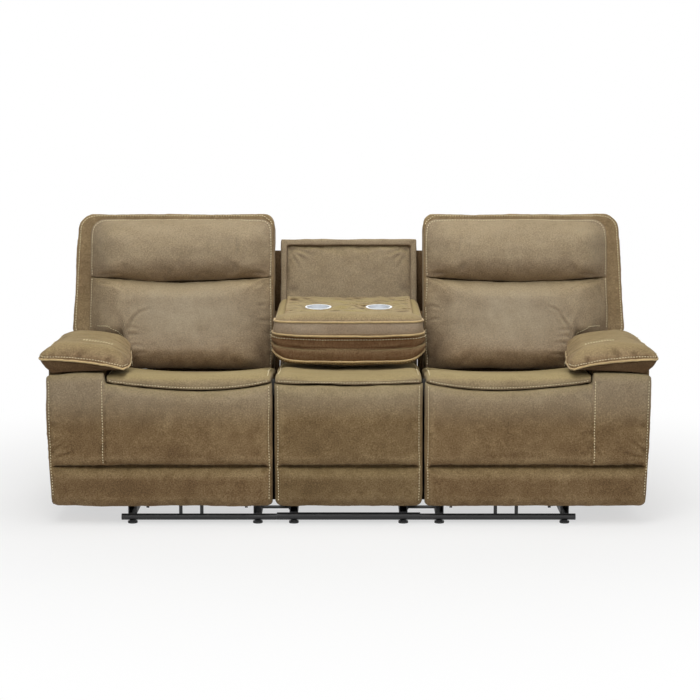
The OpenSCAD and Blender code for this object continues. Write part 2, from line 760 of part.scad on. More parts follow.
// Padding of the table: flat under the tray, with a thick roll at its front
module table_cushion() {
    under = table_pivot_z - table_down;
    y0 = table_pivot_y - table_len;
    y1 = table_pivot_y + table_tail;
    roll_y = table_pivot_y - tray_len * cos(table_slope) - table_up * sin(table_slope)
             - soft_fit;
    tray_z = table_up - tray_t - 4 - soft_fit;
    low_r = 50;
    top_r = 34;
    places = concat([0, 3, 9, 20, 45, 90, roll_y - y0 - 20, roll_y - y0 - 6, roll_y - y0],
                    [for (t = [0.3, 0.6, 0.8]) mix(roll_y - y0, y1 - y0 - low_r, t)],
                    [for (a = [0, 30, 55, 75, 90]) y1 - y0 - low_r + low_r * sin(a)]);
    color(brown) difference() {
        skin([for (i = [len(places) - 1:-1:0])
            let (p = places[i], y = y0 + p, lead = full(max(0, 1 - p / 45), 2.5),
                 low_d = max(0, y - y1 + low_r), top_d = max(0, y - y1 + top_r),
                 on_roll = 1 - clamp((y - roll_y + 6) / 6),
                 line = table_pivot_z + (y - table_pivot_y) * tan(table_slope),
                 z1 = line + mix(tray_z, table_up + 10, on_roll) - 16 * (1 - lead)
                      - top_r + sqrt(top_r * top_r - min(top_r, top_d) * min(top_r, top_d)),
                 z0 = under + 12 * (1 - lead) + low_r
                      - sqrt(low_r * low_r - min(low_r, low_d) * min(low_r, low_d)),
                 tip = mix(table_half - 14, 240, clamp(p / 400)) - 8 * (1 - lead),
                 wide = table_half - 8 * (1 - lead) - 24 * clamp((p - 200) / 200),
                 h = z1 - z0)
            concat([for (q = [[-0.9, 0], [-0.97, 0.05], [-1, 0.16], [-1, 0.4], [-0.99, 0.7]])
                       [-mix(wide, tip, q[1]) * -q[0], y, z0 + h * q[1]]],
                   [[-tip + 3, y, z0 + h * 0.9], [-tip + 16, y, z1], [0, y, z1],
                    [tip - 16, y, z1], [tip - 3, y, z0 + h * 0.9]],
                   [for (q = [[0.99, 0.7], [1, 0.4], [1, 0.16], [0.97, 0.05], [0.9, 0]])
                       [mix(wide, tip, q[1]) * q[0], y, z0 + h * q[1]]],
                   [[0, y, z0]])]);
        table_place() for (k = [-0.5, 0.5])
            translate([k * cup_span, -cup_y, table_up - cup_depth - 4])
                cylinder(d = cup_d + 2, h = 200);
        for (k = [-1, 1])
            block([k * (bracket_x + 1) - 13, table_pivot_y - 48, under - 10],
                  [k * (bracket_x + 1) + 13, y1 + 20, table_pivot_z + table_up]);
    }
}

// Mechanism: points are [distance in front of the reference line, height]
lift_pivot = [lift_u, lift_z];
knee = lift_pivot + link_len * ray(-lift_down);
knee_open = lift_pivot + link_len * ray(lift_turn - lift_down);
rest_pivot = knee + link_len * ray(reach_up);
lift_tip = knee + tail * ray(-lift_down);
rest_pin = rest_pivot + tail * ray(-lift_down);
reach_tail = knee - tail * ray(reach_up);
reach_tail_open = knee_open - tail * ray(reach_open);
// The guide's fixed pivot is as far from the reach link's tail when open as when closed
tail_way = reach_tail_open - reach_tail;
guide_pivot = (reach_tail + reach_tail_open) / 2 + [-tail_way[1], tail_way[0]] / norm(tail_way)
              * sqrt(guide_len * guide_len - tail_way * tail_way / 4);

// Planes of the links, as distances of their inner faces from the mechanism's middle
plate_x = plates_w / 2 - link_t;
guide_x = plate_x - link_gap - link_t;
reach_x = guide_x - link_gap - link_t;
lift_x = reach_x - link_gap - link_t;
inner_x = lift_x - link_gap - link_t;

// Cross tubes between the side plates
cross_front_y = -110;
cross_rear_y = 70;
cross_z = 350;

// Both sides of the mechanism about its middle
module both_sides(s) {
    hand(s) translate([mech_x, 0, 0]) {
        children();
        mirror([1, 0, 0]) children();
    }
}

module eye(p, d) {
    translate([-p[0], p[1]]) circle(d = d);
}

// Bar between two points of the mechanism, with a round end at each
module bar(a, b, w) {
    d = b - a;
    translate([-a[0], a[1]]) rotate(atan2(d[1], -d[0])) {
        translate([0, -w / 2]) square([norm(d), w]);
        circle(d = w);
        translate([norm(d), 0]) circle(d = w);
    }
}

module link(x, a, b) {
    slab(x, x + link_t) difference() {
        bar(a, b, link_w);
        eye(a, pin_d + 2 * pin_fit);
        eye(b, pin_d + 2 * pin_fit);
    }
}

module pin(p, x0, x1) {
    rod_x(x0, x1, -p[0], p[1], pin_d);
}

module side_plates(s) {
    beam_front = [250, 350];
    beam_rear = [-80, 362];
    plate_u = 290;
    shoe_z = rail_z + rail_h + 0.2;
    rear_eye = [-back_pivot_y, back_pivot_z];
    color(black) {
        both_sides(s) {
            slab(plate_x, plate_x + link_t) {
                bar(lift_pivot, guide_pivot, 44);
                bar(beam_front, beam_rear, 50);
                bar(beam_rear, rear_eye, 40);
                panel_2d(-plate_u, 340, 40, seat_frame_z);
                for (u = [180, -40]) panel_2d(-u - 14, shoe_z, -u + 14, 360);
            }
            pin(lift_pivot, lift_x, plate_x + weld);
            pin(guide_pivot, guide_x, plate_x + weld);
            pin(rear_eye, plate_x, hinge_arm_x + link_t + 3);
            block([plate_x, -plate_u, seat_frame_z - 4], [plate_x + 36, 24, seat_frame_z]);
            for (u = [180, -40])
                block([plate_x, -u - 20, shoe_z], [rails_w / 2 + rail_w / 2 - 2, -u + 20,
                      shoe_z + 4]);
        }
        hand(s) for (y = [cross_front_y, cross_rear_y])
            rod_x(mech_x - plate_x - 1, mech_x + plate_x + 1, y, cross_z, tube_d);
    }
}

module lift_links(s) {
    tube_at = lift_pivot + 62 * ray(-lift_down);
    color(black) {
        both_sides(s) {
            slab(lift_x, lift_x + link_t) difference() {
                bar(lift_pivot, lift_tip, link_w);
                for (p = [lift_pivot, knee]) eye(p, pin_d + 2 * pin_fit);
            }
            pin(lift_tip, inner_x, lift_x + weld);
        }
        hand(s) rod_x(mech_x - lift_x - 1, mech_x + lift_x + 1, -tube_at[0], tube_at[1], 18);
    }
}

module reach_links(s) {
    color(black) both_sides(s) {
        slab(reach_x, reach_x + link_t) difference() {
            bar(reach_tail, rest_pivot, link_w);
            for (p = [reach_tail, rest_pivot]) eye(p, pin_d + 2 * pin_fit);
        }
        pin(knee, lift_x, reach_x + weld);
    }
}

module lift_guides(s) {
    color(black) both_sides(s) link(guide_x, guide_pivot, reach_tail);
}

module reach_guides(s) {
    color(black) both_sides(s) link(inner_x, lift_tip, rest_pin);
}

module legrest_brackets(s) {
    board = [-board_back_y, rest_pivot[1]];
    color(black) both_sides(s) {
        slab(lift_x, lift_x + link_t) difference() {
            union() {
                bar(rest_pivot, rest_pin, link_w);
                polygon([[board_back_y, rest_pin[1] - 12], [board_back_y, board[1] + 30],
                         [-rest_pivot[0], board[1] + 10], [-rest_pin[0], rest_pin[1] - 9]]);
            }
            eye(rest_pin, pin_d + 2 * pin_fit);
        }
        pin(rest_pivot, lift_x, reach_x + link_t);
        block([lift_x, board_back_y, rest_pin[1] - 12], [lift_x + 32, board_back_y + 4,
              board[1] + 30]);
    }
}

// Drive: a motor and gearbox that push a block along a rail
drive_z = 190;
drive_w = 40;
drive_h = 24;
block_y = 10;
block_l = 34;

module actuator_body(s) {
    hanger_t = 6;
    gear_y = cross_rear_y + 2;
    rail_y = block_y - block_l - drive_travel - hanger_t - 2;
    top = cross_z - tube_d / 2 - 0.3;
    color(black) hand(s) translate([mech_x, 0, 0]) {
        block([-drive_w / 2, rail_y, drive_z - drive_h / 2],
              [drive_w / 2, gear_y - 22, drive_z + drive_h / 2]);
        block([-34, gear_y - 27, drive_z - 30], [34, gear_y + 28, drive_z + 45]);
        translate([0, gear_y, drive_z + 40]) cylinder(d = 46, h = 90);
        block([-25, cross_rear_y - hanger_t / 2, drive_z + 40],
              [25, cross_rear_y + hanger_t / 2, top]);
        block([-12, rail_y, drive_z + drive_h / 2 - 1], [12, rail_y + hanger_t, top]);
        block([-12, rail_y, top - hanger_t], [12, cross_front_y + 4, top]);
    }
}

module drive_block(s) {
    slide_fit = 0.3;
    color(steel) hand(s) translate([mech_x, 0, 0]) difference() {
        block([-drive_w / 2 - 8, block_y - block_l, drive_z - 20],
              [drive_w / 2 + 8, block_y, drive_z + 20]);
        block([-drive_w / 2 - slide_fit, block_y - block_l - 1, drive_z - drive_h / 2 - slide_fit],
              [drive_w / 2 + slide_fit, block_y + 1, drive_z + drive_h / 2 + slide_fit]);
    }
}

base_rails(-1);  // left_base_rails
base_rails(1);  // right_base_rails
centre_base_frame();
floor_glides();
arm_frame(-1);  // left_arm_frame
arm_frame(1);  // right_arm_frame
arm_cover(-1);  // left_arm_cover
arm_cover(1);  // right_arm_cover
arm_pad(-1);  // left_arm_pad
arm_pad(1);  // right_arm_pad
switch_plate(-1);  // left_switch_plate
switch_plate(1);  // right_switch_plate
button(-1, -0.5);  // left_open_button
button(1, -0.5);  // right_open_button
button(-1, 0.5);  // left_close_button
button(1, 0.5);  // right_close_button
centre_seat_frame();
centre_seat_cushion();
centre_front_pad();
centre_back_frame();
centre_back_panel();
table_hinge_brackets();
table_frame();
table_tray();
table_cushion();
cup_holders();
power_inlet();
side_plates(-1);  // left_side_plates
side_plates(1);  // right_side_plates
seat_frame(-1);  // left_seat_frame
seat_frame(1);  // right_seat_frame
seat_cushion(-1);  // left_seat_cushion
seat_cushion(1);  // right_seat_cushion
back_frame(-1);  // left_back_frame
back_frame(1);  // right_back_frame
back_cover(-1);  // left_back_cover
back_cover(1);  // right_back_cover
lumbar_cushion(-1);  // left_lumbar_cushion
lumbar_cushion(1);  // right_lumbar_cushion
head_cushion(-1);  // left_head_cushion
head_cushion(1);  // right_head_cushion
lift_links(-1);  // left_lift_links
lift_links(1);  // right_lift_links
reach_links(-1);  // left_reach_links
reach_links(1);  // right_reach_links
lift_guides(-1);  // left_lift_guides
lift_guides(1);  // right_lift_guides
reach_guides(-1);  // left_reach_guides
reach_guides(1);  // right_reach_guides
legrest_brackets(-1);  // left_legrest_brackets
legrest_brackets(1);  // right_legrest_brackets
legrest_board(-1);  // left_legrest_board
legrest_board(1);  // right_legrest_board
legrest_pad(-1);  // left_legrest_pad
legrest_pad(1);  // right_legrest_pad
actuator_body(-1);  // left_actuator_body
actuator_body(1);  // right_actuator_body
drive_block(-1);  // left_drive_block
drive_block(1);  // right_drive_block
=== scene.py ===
"""Looks of a three-seat power reclining sofa in brushed suede-look cloth with cream stitching.

The right hand soft pieces are drawn in millimetres, settled as cloth, creased and stitched. The
left hand ones are their mirror images with folds of their own.
"""

import json
import math

import bpy
import numpy as np
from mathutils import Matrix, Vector
from mathutils.bvhtree import BVHTree


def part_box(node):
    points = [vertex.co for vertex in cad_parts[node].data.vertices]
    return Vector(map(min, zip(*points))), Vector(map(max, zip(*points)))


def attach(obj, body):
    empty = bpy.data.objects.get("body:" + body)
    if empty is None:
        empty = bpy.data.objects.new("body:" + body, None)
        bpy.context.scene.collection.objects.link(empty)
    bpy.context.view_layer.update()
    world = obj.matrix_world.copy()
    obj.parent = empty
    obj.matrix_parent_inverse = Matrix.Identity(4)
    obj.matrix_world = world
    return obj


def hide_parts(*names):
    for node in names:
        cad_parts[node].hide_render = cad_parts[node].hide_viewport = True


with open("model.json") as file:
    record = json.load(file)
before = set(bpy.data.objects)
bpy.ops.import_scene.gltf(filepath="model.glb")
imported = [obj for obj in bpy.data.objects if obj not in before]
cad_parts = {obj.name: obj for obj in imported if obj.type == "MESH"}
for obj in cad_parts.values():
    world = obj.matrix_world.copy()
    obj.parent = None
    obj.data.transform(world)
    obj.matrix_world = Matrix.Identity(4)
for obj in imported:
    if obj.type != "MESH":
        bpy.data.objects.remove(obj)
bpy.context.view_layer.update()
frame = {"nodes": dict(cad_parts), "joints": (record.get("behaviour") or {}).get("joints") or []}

bl_info = {
    "name": "Power reclining sofa",
    "version": (1, 0, 0),
    "blender": (4, 5, 0),
    "location": "View3D > Sidebar > Sofa",
    "description": "Dresses the packed frame of a power reclining sofa",
    "category": "Object",
}

MILLIMETRE = 0.001
QUARTER = math.pi / 2


def span(node):
    """Lowest and highest corner of a CAD node at rest, in millimetres."""
    low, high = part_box(node)
    return np.array(low) / MILLIMETRE, np.array(high) / MILLIMETRE


def joint_place(name):
    """Where a joint's axis lies, in millimetres."""
    for joint in frame["joints"]:
        if joint["name"] == name:
            return np.array(joint["pos_m"]) / MILLIMETRE
    raise ValueError(f"the frame has no joint named {name}")


# Places that the frame gives
SEAT_LOW, SEAT_HIGH = span("right_seat_cushion")
MIDDLE_LOW, MIDDLE_HIGH = span("centre_seat_cushion")
PANEL_LOW, PANEL_HIGH = span("right_legrest_pad")
CENTRE_LOW, CENTRE_HIGH = span("centre_front_pad")
ARM_LOW, ARM_HIGH = span("right_arm_cover")
PILLOW_LOW, PILLOW_HIGH = span("right_arm_pad")
TABLE_LOW, TABLE_HIGH = span("table_cushion")
TRAY_LOW, TRAY_HIGH = span("table_tray")
PIVOT = joint_place("right_back_recline")
TABLE_PIVOT = joint_place("table_fold")

# Places on a back, measured from its pivot with Z running up the back
BACK_LEAN = math.radians(14)
BACK_FACE = 40.0
BACK_REAR = 150.0
BACK_TOP = 615.0
BACK_FOOT = -149.0
BACK_INNER = PANEL_LOW[0] + 16
BACK_OUTER = ARM_HIGH[0] - 20
NECK_OUTER = ARM_LOW[0] - 73
WING_LOW = 130.0
OUTER_CORNER = 62.0
INNER_CORNER = 34.0
WING_FLARE = 6.0
BORDER_FLARE = 10.0
FLAP_TOP = 503.0
FLAP_STEP = 262.0
BORDER_OUTER = 50.0
BORDER_INNER = 7.0
BORDER_TOP = 23.0

# Inner and outer side of the lumbar and head cushions, inside the border
CUSHION_INNER = BACK_INNER + BORDER_INNER
CUSHION_OUTER = BACK_OUTER - BORDER_OUTER

# Height of the crease across the front panels
CREASE_HEIGHT = 205.0
ARM_SEAM = ARM_LOW[0] - 2
# Seams under the lips: height in the middle, rise to the ends and lean towards the sofa's middle
END_SEAM = (475.5, 26.0, 0.14)
MIDDLE_SEAM = (493.0, 7.0, 0.0)


def linear(code):
    """Linear colour of an sRGB hex value."""
    parts = [int(code[i:i + 2], 16) / 255 for i in (1, 3, 5)]
    return tuple(p / 12.92 if p <= 0.04045 else ((p + 0.055) / 1.055) ** 2.4 for p in parts)


class SofaCloth(bpy.types.PropertyGroup):
    """Colours of the cloth, its piping and its thread."""

    # Shade is the dark end of the random mottling, and the colour of painted shade in folds and under
    # parts
    shade: bpy.props.FloatVectorProperty(
        name="Shade", description="Cloth in folds and where the nap lies flat", subtype="COLOR",
        size=3, min=0, max=1, default=linear("#47351F"))
    brown: bpy.props.FloatVectorProperty(
        name="Brown", description="Main colour of the cloth", subtype="COLOR",
        size=3, min=0, max=1, default=linear("#745D3F"))
    tan: bpy.props.FloatVectorProperty(
        name="Tan", description="Cloth where the nap stands up and on worn edges",
        subtype="COLOR", size=3, min=0, max=1, default=linear("#9A8461"))
    # Olive is painted top light, on cloth that faces up
    olive: bpy.props.FloatVectorProperty(
        name="Olive", description="Cloth that faces upwards", subtype="COLOR",
        size=3, min=0, max=1, default=linear("#9A8A5C"))
    # Pale is the colour of painted highlights, laid on the parts that the lamps light most
    pale: bpy.props.FloatVectorProperty(
        name="Pale", description="Cloth whose nap is brushed towards the light", subtype="COLOR",
        size=3, min=0, max=1, default=linear("#A3957F"))
    # Russet is painted shade, mostly on cloth that faces down or lies low on a piece, spread in random
    # warm patches
    russet: bpy.props.FloatVectorProperty(
        name="Russet", description="Warmer patches of the cloth", subtype="COLOR",
        size=3, min=0, max=1, default=linear("#74492F"))
    piping: bpy.props.FloatVectorProperty(
        name="Piping", description="Cloth of the piping, rubbed light", subtype="COLOR",
        size=3, min=0, max=1, default=linear("#DDC18A"))
    thread: bpy.props.FloatVectorProperty(
        name="Thread", description="Sewing thread", subtype="COLOR",
        size=3, min=0, max=1, default=linear("#F2E4BC"))


class SofaSewing(bpy.types.PropertyGroup):
    """Sizes of the stitches, the piping and the folds."""

    stitch_pitch: bpy.props.FloatProperty(
        name="Stitch pitch", description="Distance from one stitch to the next",
        default=0.0098, min=0.004, max=0.03, unit="LENGTH")
    stitch_length: bpy.props.FloatProperty(
        name="Stitch length", description="Length of thread that shows in a stitch",
        default=0.0056, min=0.002, max=0.02, unit="LENGTH")
    thread_radius: bpy.props.FloatProperty(
        name="Thread radius", description="Radius of the sewing thread, drawn coarse enough to show",
        default=0.00145, min=0.0003, max=0.003, unit="LENGTH")
    piping_radius: bpy.props.FloatProperty(
        name="Piping radius", description="Radius of the piping round the table and arm pillows",
        default=0.0038, min=0.001, max=0.008, unit="LENGTH")
    folds: bpy.props.FloatProperty(
        name="Folds", description="Depth of the folds and puckers, as a share of the real ones",
        default=1.0, min=0.0, max=2.0, subtype="FACTOR")


# Mesh work. A skin is an array of points in millimetres and a list of faces

def evaluated(points, faces, edit, frames=0):
    """Points and faces of a mesh once the modifiers that edit adds have run."""
    mesh = bpy.data.meshes.new("work")
    mesh.from_pydata((np.asarray(points) * MILLIMETRE).tolist(), [], [list(f) for f in faces])
    work = bpy.data.objects.new("work", mesh)
    scene = bpy.context.scene
    scene.collection.objects.link(work)
    edit(work)
    for number in range(1, frames + 1):
        scene.frame_set(number)
    bpy.context.view_layer.update()
    result = work.evaluated_get(bpy.context.evaluated_depsgraph_get()).to_mesh()
    moved = np.empty(len(result.vertices) * 3, np.float32)
    result.vertices.foreach_get("co", moved)
    found = [tuple(p.vertices) for p in result.polygons]
    bpy.data.objects.remove(work)
    bpy.data.meshes.remove(mesh)
    if frames:
        scene.frame_set(1)
    return moved.reshape(-1, 3).astype(float) / MILLIMETRE, found


def settle(points, faces, hold, cap, pressure, slack=0.012):
    """Lets the cloth swell and find its folds between the points that are held.

    hold is how firmly each point is held, cap is the most that a point moves, and slack is the
    share by which the cloth is longer than its skin.
    """

    def edit(work):
        held = work.vertex_groups.new(name="held")
        for level in np.unique(hold[hold > 0]):
            held.add(np.flatnonzero(hold == level).tolist(), float(level), "REPLACE")
        cloth = work.modifiers.new("settle", "CLOTH").settings
        cloth.quality = 5
        cloth.mass = 0.3
        cloth.tension_stiffness = 15
        cloth.compression_stiffness = 15
        cloth.shear_stiffness = 5
        cloth.bending_stiffness = 0.5
        cloth.use_pressure = True
        cloth.uniform_pressure_force = pressure
        cloth.shrink_min = -slack
        cloth.vertex_group_mass = "held"
        cloth.effector_weights.gravity = 0

    moved, _ = evaluated(points, faces, edit, frames=20)
    step = moved - points
    length = np.linalg.norm(step, axis=1, keepdims=True)
    return points + step * np.minimum(1, cap / np.maximum(length, 1e-6))


def refine(points, faces):
    """The same skin with each face split in four and rounded."""
    def edit(work):
        work.modifiers.new("refine", "SUBSURF").levels = 1

    return evaluated(points, faces, edit)


def remesh(points, faces, voxel, smooth):
    """An even skin over solids that may overlap, with its edges rounded off."""
    def edit(work):
        grid = work.modifiers.new("grid", "REMESH")
        grid.mode = "VOXEL"
        grid.voxel_size = voxel * MILLIMETRE
        soften = work.modifiers.new("soften", "SMOOTH")
        soften.factor = 0.5
        soften.iterations = smooth

    return evaluated(points, faces, edit)


def bevelled(points, faces, width):
    """The same skin with its sharp edges bevelled."""
    def edit(work):
        edge = work.modifiers.new("edge", "BEVEL")
        edge.width = width * MILLIMETRE
        edge.segments = 2
        edge.limit_method = "ANGLE"

    return evaluated(points, faces, edit)


def carve(points, faces, cutters):
    """The skin with other closed skins taken out of it."""
    for cutter_points, cutter_faces in cutters:
        mesh = bpy.data.meshes.new("cutter")
        mesh.from_pydata((np.asarray(cutter_points) * MILLIMETRE).tolist(), [], cutter_faces)
        cutter = bpy.data.objects.new("cutter", mesh)
        bpy.context.scene.collection.objects.link(cutter)

        def edit(work, cutter=cutter):
            cut = work.modifiers.new("cut", "BOOLEAN")
            cut.operation = "DIFFERENCE"
            cut.solver = "EXACT"
            cut.object = cutter

        points, faces = evaluated(points, faces, edit)
        bpy.data.objects.remove(cutter)
        bpy.data.meshes.remove(mesh)
    return points, faces


def outward(points, faces):
    """Faces turned so that they look out of the skin."""
    volume = 0.0
    for f in faces:
        for k in range(1, len(f) - 1):
            volume += np.dot(points[f[0]], np.cross(points[f[k]], points[f[k + 1]]))
    return faces if volume > 0 else [tuple(reversed(f)) for f in faces]


def loft(rings):
    """Closed skin over rings that have the same number of points."""
    rings = np.asarray(rings, float)
    count, around = rings.shape[:2]
    middles = [rings[0].mean(0), rings[-1].mean(0)]
    points = np.concatenate([rings.reshape(-1, 3), middles])
    faces = []
    for i in range(count - 1):
        for j in range(around):
            k = (j + 1) % around
            a, b = i * around, (i + 1) * around
            faces.append((a + j, a + k, b + k, b + j))
    last = (count - 1) * around
    for j in range(around):
        k = (j + 1) % around
        faces.append((k, j, count * around))
        faces.append((last + j, last + k, count * around + 1))
    return points, outward(points, faces)


def arc(middle, radius, start, end, count):
    """Points along an arc, from one angle to another in radians."""
    return [(middle[0] + radius * math.cos(a), middle[1] + radius * math.sin(a))
            for a in np.linspace(start, end, count)]


def rectangle(a0, a1, b0, b1):
    """Outline between two places along one axis and two along another."""
    return [(a0, b0), (a1, b0), (a1, b1), (a0, b1)]


def prism(outline, low, high, axis):
    """Solid between two places along an axis, from an outline across the other two axes."""
    others = [k for k in range(3) if k != axis]
    points = np.zeros((2 * len(outline), 3))
    for end, place in enumerate((low, high)):
        block = slice(end * len(outline), (end + 1) * len(outline))
        points[block, others] = outline
        points[block, axis] = place
    n = len(outline)
    faces = [tuple(range(n)), tuple(reversed(range(n, 2 * n)))]
    faces += [(i, i + n, (i + 1) % n + n, (i + 1) % n) for i in range(n)]
    return points, outward(points, faces)


def merged(*skins):
    """Several skins as one."""
    points, faces, start = [], [], 0
    for part_points, part_faces in skins:
        points.append(part_points)
        faces += [tuple(i + start for i in f) for f in part_faces]
        start += len(part_points)
    return np.concatenate(points), faces


def mirrored(points, faces):
    """The left hand twin of a right hand skin."""
    return points * (-1, 1, 1), [tuple(reversed(f)) for f in faces]


def crowd(length, step, first=1.5):
    """Places from 0 to length: close together at both ends and a step apart between them."""
    grow = 1.7
    ends = [0.0]
    gap = first
    while gap < step and ends[-1] + gap < 0.4 * length:
        ends.append(ends[-1] + gap)
        gap *= grow
    inner = length - 2 * ends[-1]
    count = max(1, round(inner / step))
    middle = [ends[-1] + inner * i / count for i in range(1, count)]
    return np.array(ends + middle + [length - e for e in reversed(ends)])


def between(low, high, places):
    """Heights of each column's points, from its low to its high end."""
    shares = places / places[-1]
    return np.asarray(low)[:, None] * (1 - shares) + np.asarray(high)[:, None] * shares


def roll(distance, radius):
    """How far an edge has rolled out: 0 on the edge and 1 from radius on."""
    t = np.clip(np.asarray(distance, float) / radius, 0, 1)
    return np.sqrt(1 - (1 - t) ** 2)


def rise(distance, flange, reach):
    """How far padding has risen: flat beside the seam for the flange, then full after reach."""
    t = np.clip((np.asarray(distance, float) - flange) / reach, 0, 1)
    return np.sin(0.5 * math.pi * t)


def ease(t):
    """Smooth step from 0 to 1."""
    t = np.clip(t, 0, 1)
    return t * t * (3 - 2 * t)


def pad(columns, heights, depth, creases=()):
    """Closed pad over a flat back, as (along, out, up) points, and how firmly each is held."""
    columns = np.asarray(columns, float)
    count, rows = heights.shape
    along = np.repeat(columns[:, None], rows, 1)
    out = depth(along, heights, heights[:, :1], heights[:, -1:])
    front = np.stack([along, out, heights], 2)
    shares = np.linspace(1, 0, max(3, rows // 5))
    back_up = heights[:, :1] * (1 - shares) + heights[:, -1:] * shares
    back = np.stack([np.repeat(columns[:, None], len(shares), 1), 0 * back_up, back_up], 2)
    points, faces = loft(np.concatenate([front, back], 1))
    hold = np.zeros((count, rows + len(shares)))
    hold[:, rows:] = 1
    hold[:, [0, rows - 1]] = 1
    hold[:, [1, rows - 2]] = 0.6
    hold[[0, -1]] = 1
    hold[[1, -2]] = np.maximum(hold[[1, -2]], 0.6)
    for row in creases:
        hold[:, row] = 1
    return points, faces, np.concatenate([hold.ravel(), [1, 1]])


# Relief of a refined skin

def normals_of(points, faces):
    """Unit normal at each point of a skin of quads."""
    quads = np.asarray(faces)
    across = np.cross(points[quads[:, 2]] - points[quads[:, 0]],
                      points[quads[:, 3]] - points[quads[:, 1]])
    total = np.zeros_like(points)
    for k in range(4):
        np.add.at(total, quads[:, k], across)
    return total / np.maximum(np.linalg.norm(total, axis=1, keepdims=True), 1e-9)


def corner_normals(points, faces):
    """Unit normal at each point of a skin whose faces have any number of corners."""
    total = np.zeros_like(points)
    for f in faces:
        across = np.cross(points[f[1]] - points[f[0]], points[f[2]] - points[f[0]])
        for i in f:
            total[i] += across
    return total / np.maximum(np.linalg.norm(total, axis=1, keepdims=True), 1e-9)


def edges_of(faces):
    """Pairs of neighbouring points, each way round."""
    if len({len(f) for f in faces}) == 1:
        table = np.asarray(faces)
        pairs = np.stack([table, np.roll(table, -1, 1)], 2).reshape(-1, 2)
    else:
        pairs = np.array([(a, b) for f in faces for a, b in zip(f, f[1:] + f[:1])])
    return np.concatenate([pairs, pairs[:, ::-1]])


def neighbour_mean(values, pairs, count):
    """Mean of each point's neighbours."""
    total = np.zeros((count,) + values.shape[1:])
    np.add.at(total, pairs[:, 0], values[pairs[:, 1]])
    share = np.bincount(pairs[:, 0], minlength=count).astype(float)
    share = np.maximum(share, 1)
    return total / (share[:, None] if values.ndim > 1 else share)


def wear_and_crease_shade_of(points, faces, normals):
    """1 on ridges that hands and clothes rub, and -1 deep in folds, where it paints shade."""
    pairs = edges_of(faces)
    count = len(points)
    lift = ((points - neighbour_mean(points, pairs, count)) * normals).sum(1)
    for _ in range(3):
        lift = 0.4 * lift + 0.6 * neighbour_mean(lift, pairs, count)
    return np.clip(lift / 0.16, -1, 1)


def swell(points, size, seed):
    """Uneven field of about -1 to 1 whose swells are about size millimetres wide."""
    count = 16
    rng = np.random.default_rng(seed)
    way = rng.normal(size=(count, 3))
    way *= (rng.uniform(0.6, 1.5, count) * math.pi / size
            / np.linalg.norm(way, axis=1))[:, None]
    phase = rng.uniform(0, 2 * math.pi, count)
    return np.sin(points @ way.T + phase).sum(1) / math.sqrt(count)


def ripples(points, seed, *waves):
    """Uneven height from several swells, each given as its height and its width in millimetres."""
    return sum(height * swell(points, size, seed + k) for k, (height, size) in enumerate(waves))


def to_path(points, path):
    """Distance of each point from a path, and how far along the path it lies."""
    path = np.asarray(path, float)
    best = np.full(len(points), 1e9)
    place = np.zeros(len(points))
    start = 0.0
    for a, b in zip(path[:-1], path[1:]):
        way = b - a
        length = np.linalg.norm(way)
        if length < 1e-6:
            continue
        t = np.clip((points - a) @ way / length ** 2, 0, 1)
        distance = np.linalg.norm(points - a - t[:, None] * way, axis=1)
        nearer = distance < best
        best[nearer] = distance[nearer]
        place[nearer] = start + t[nearer] * length
        start += length
    return best, place, start


def groove(points, path, width, depth):
    """Height of a sewn groove along a path."""
    distance, _, _ = to_path(points, path)
    return -depth * np.exp(-(distance / width) ** 2)


def fold(points, path, width, depth):
    """Height of a fold: a valley between two ridges that fades at both ends."""
    distance, place, total = to_path(points, path)
    fade = np.sin(math.pi * np.clip(place / total, 0.02, 0.98)) ** 0.6
    valley = np.exp(-(distance / width) ** 2)
    ridge = np.exp(-((distance - 2.1 * width) / (1.2 * width)) ** 2)
    return fade * depth * (0.55 * ridge - valley)


def gather(points, path, reach, pitch, depth, seed):
    """Height of the puckers that run out from a seam."""
    distance, place, _ = to_path(points, path)
    rng = np.random.default_rng(seed)
    wave = np.zeros(len(points))
    for share in (0.6, 1.0, 1.7, 2.6):
        wave += np.sin(2 * math.pi * place * share / pitch + rng.uniform(0, 6.3)
                       + 2 * np.sin(place / (5 * pitch) + rng.uniform(0, 6.3)))
    swing = np.exp(-(distance / reach) ** 1.5) * np.clip(distance / 4, 0, 1)
    return 0.3 * depth * wave * swing


def resampled(path, step):
    """Points a step apart along a path, and the way that it runs at each."""
    path = np.asarray(path, float)
    lengths = np.linalg.norm(np.diff(path, axis=0), axis=1)
    place = np.concatenate([[0], np.cumsum(lengths)])
    count = max(2, round(place[-1] / step) + 1)
    at = np.linspace(0, place[-1], count)
    points = np.stack([np.interp(at, place, path[:, k]) for k in range(3)], 1)
    way = np.gradient(points, axis=0)
    return points, way / np.maximum(np.linalg.norm(way, axis=1, keepdims=True), 1e-9)


def tree_of(points, faces):
    """Search tree of a skin."""
    return BVHTree.FromPolygons([Vector(p) for p in points], faces)


def onto(tree, path, step=12.0):
    """A path laid down onto a skin, with the skin's normals."""
    points, _ = resampled(path, step)
    places, normals = [], []
    for p in points:
        place, normal, _, _ = tree.find_nearest(Vector(p))
        places.append(place)
        normals.append(normal)
    return np.array(places), np.array(normals)


def drawn_fold(points, tree, path, width, depth):
    """Height of a fold whose path is drawn across X and Z and laid onto a skin's front."""
    ahead = -2000.0
    steps, _ = resampled([(x, 0.0, z) for x, z in path], 10.0)
    laid = []
    for p in steps:
        place, _, _, _ = tree.ray_cast(Vector((p[0], ahead, p[2])), Vector((0, 1, 0)))
        if place is not None:
            laid.append(place)
    return fold(points, np.array(laid), width, depth) if len(laid) > 1 else 0


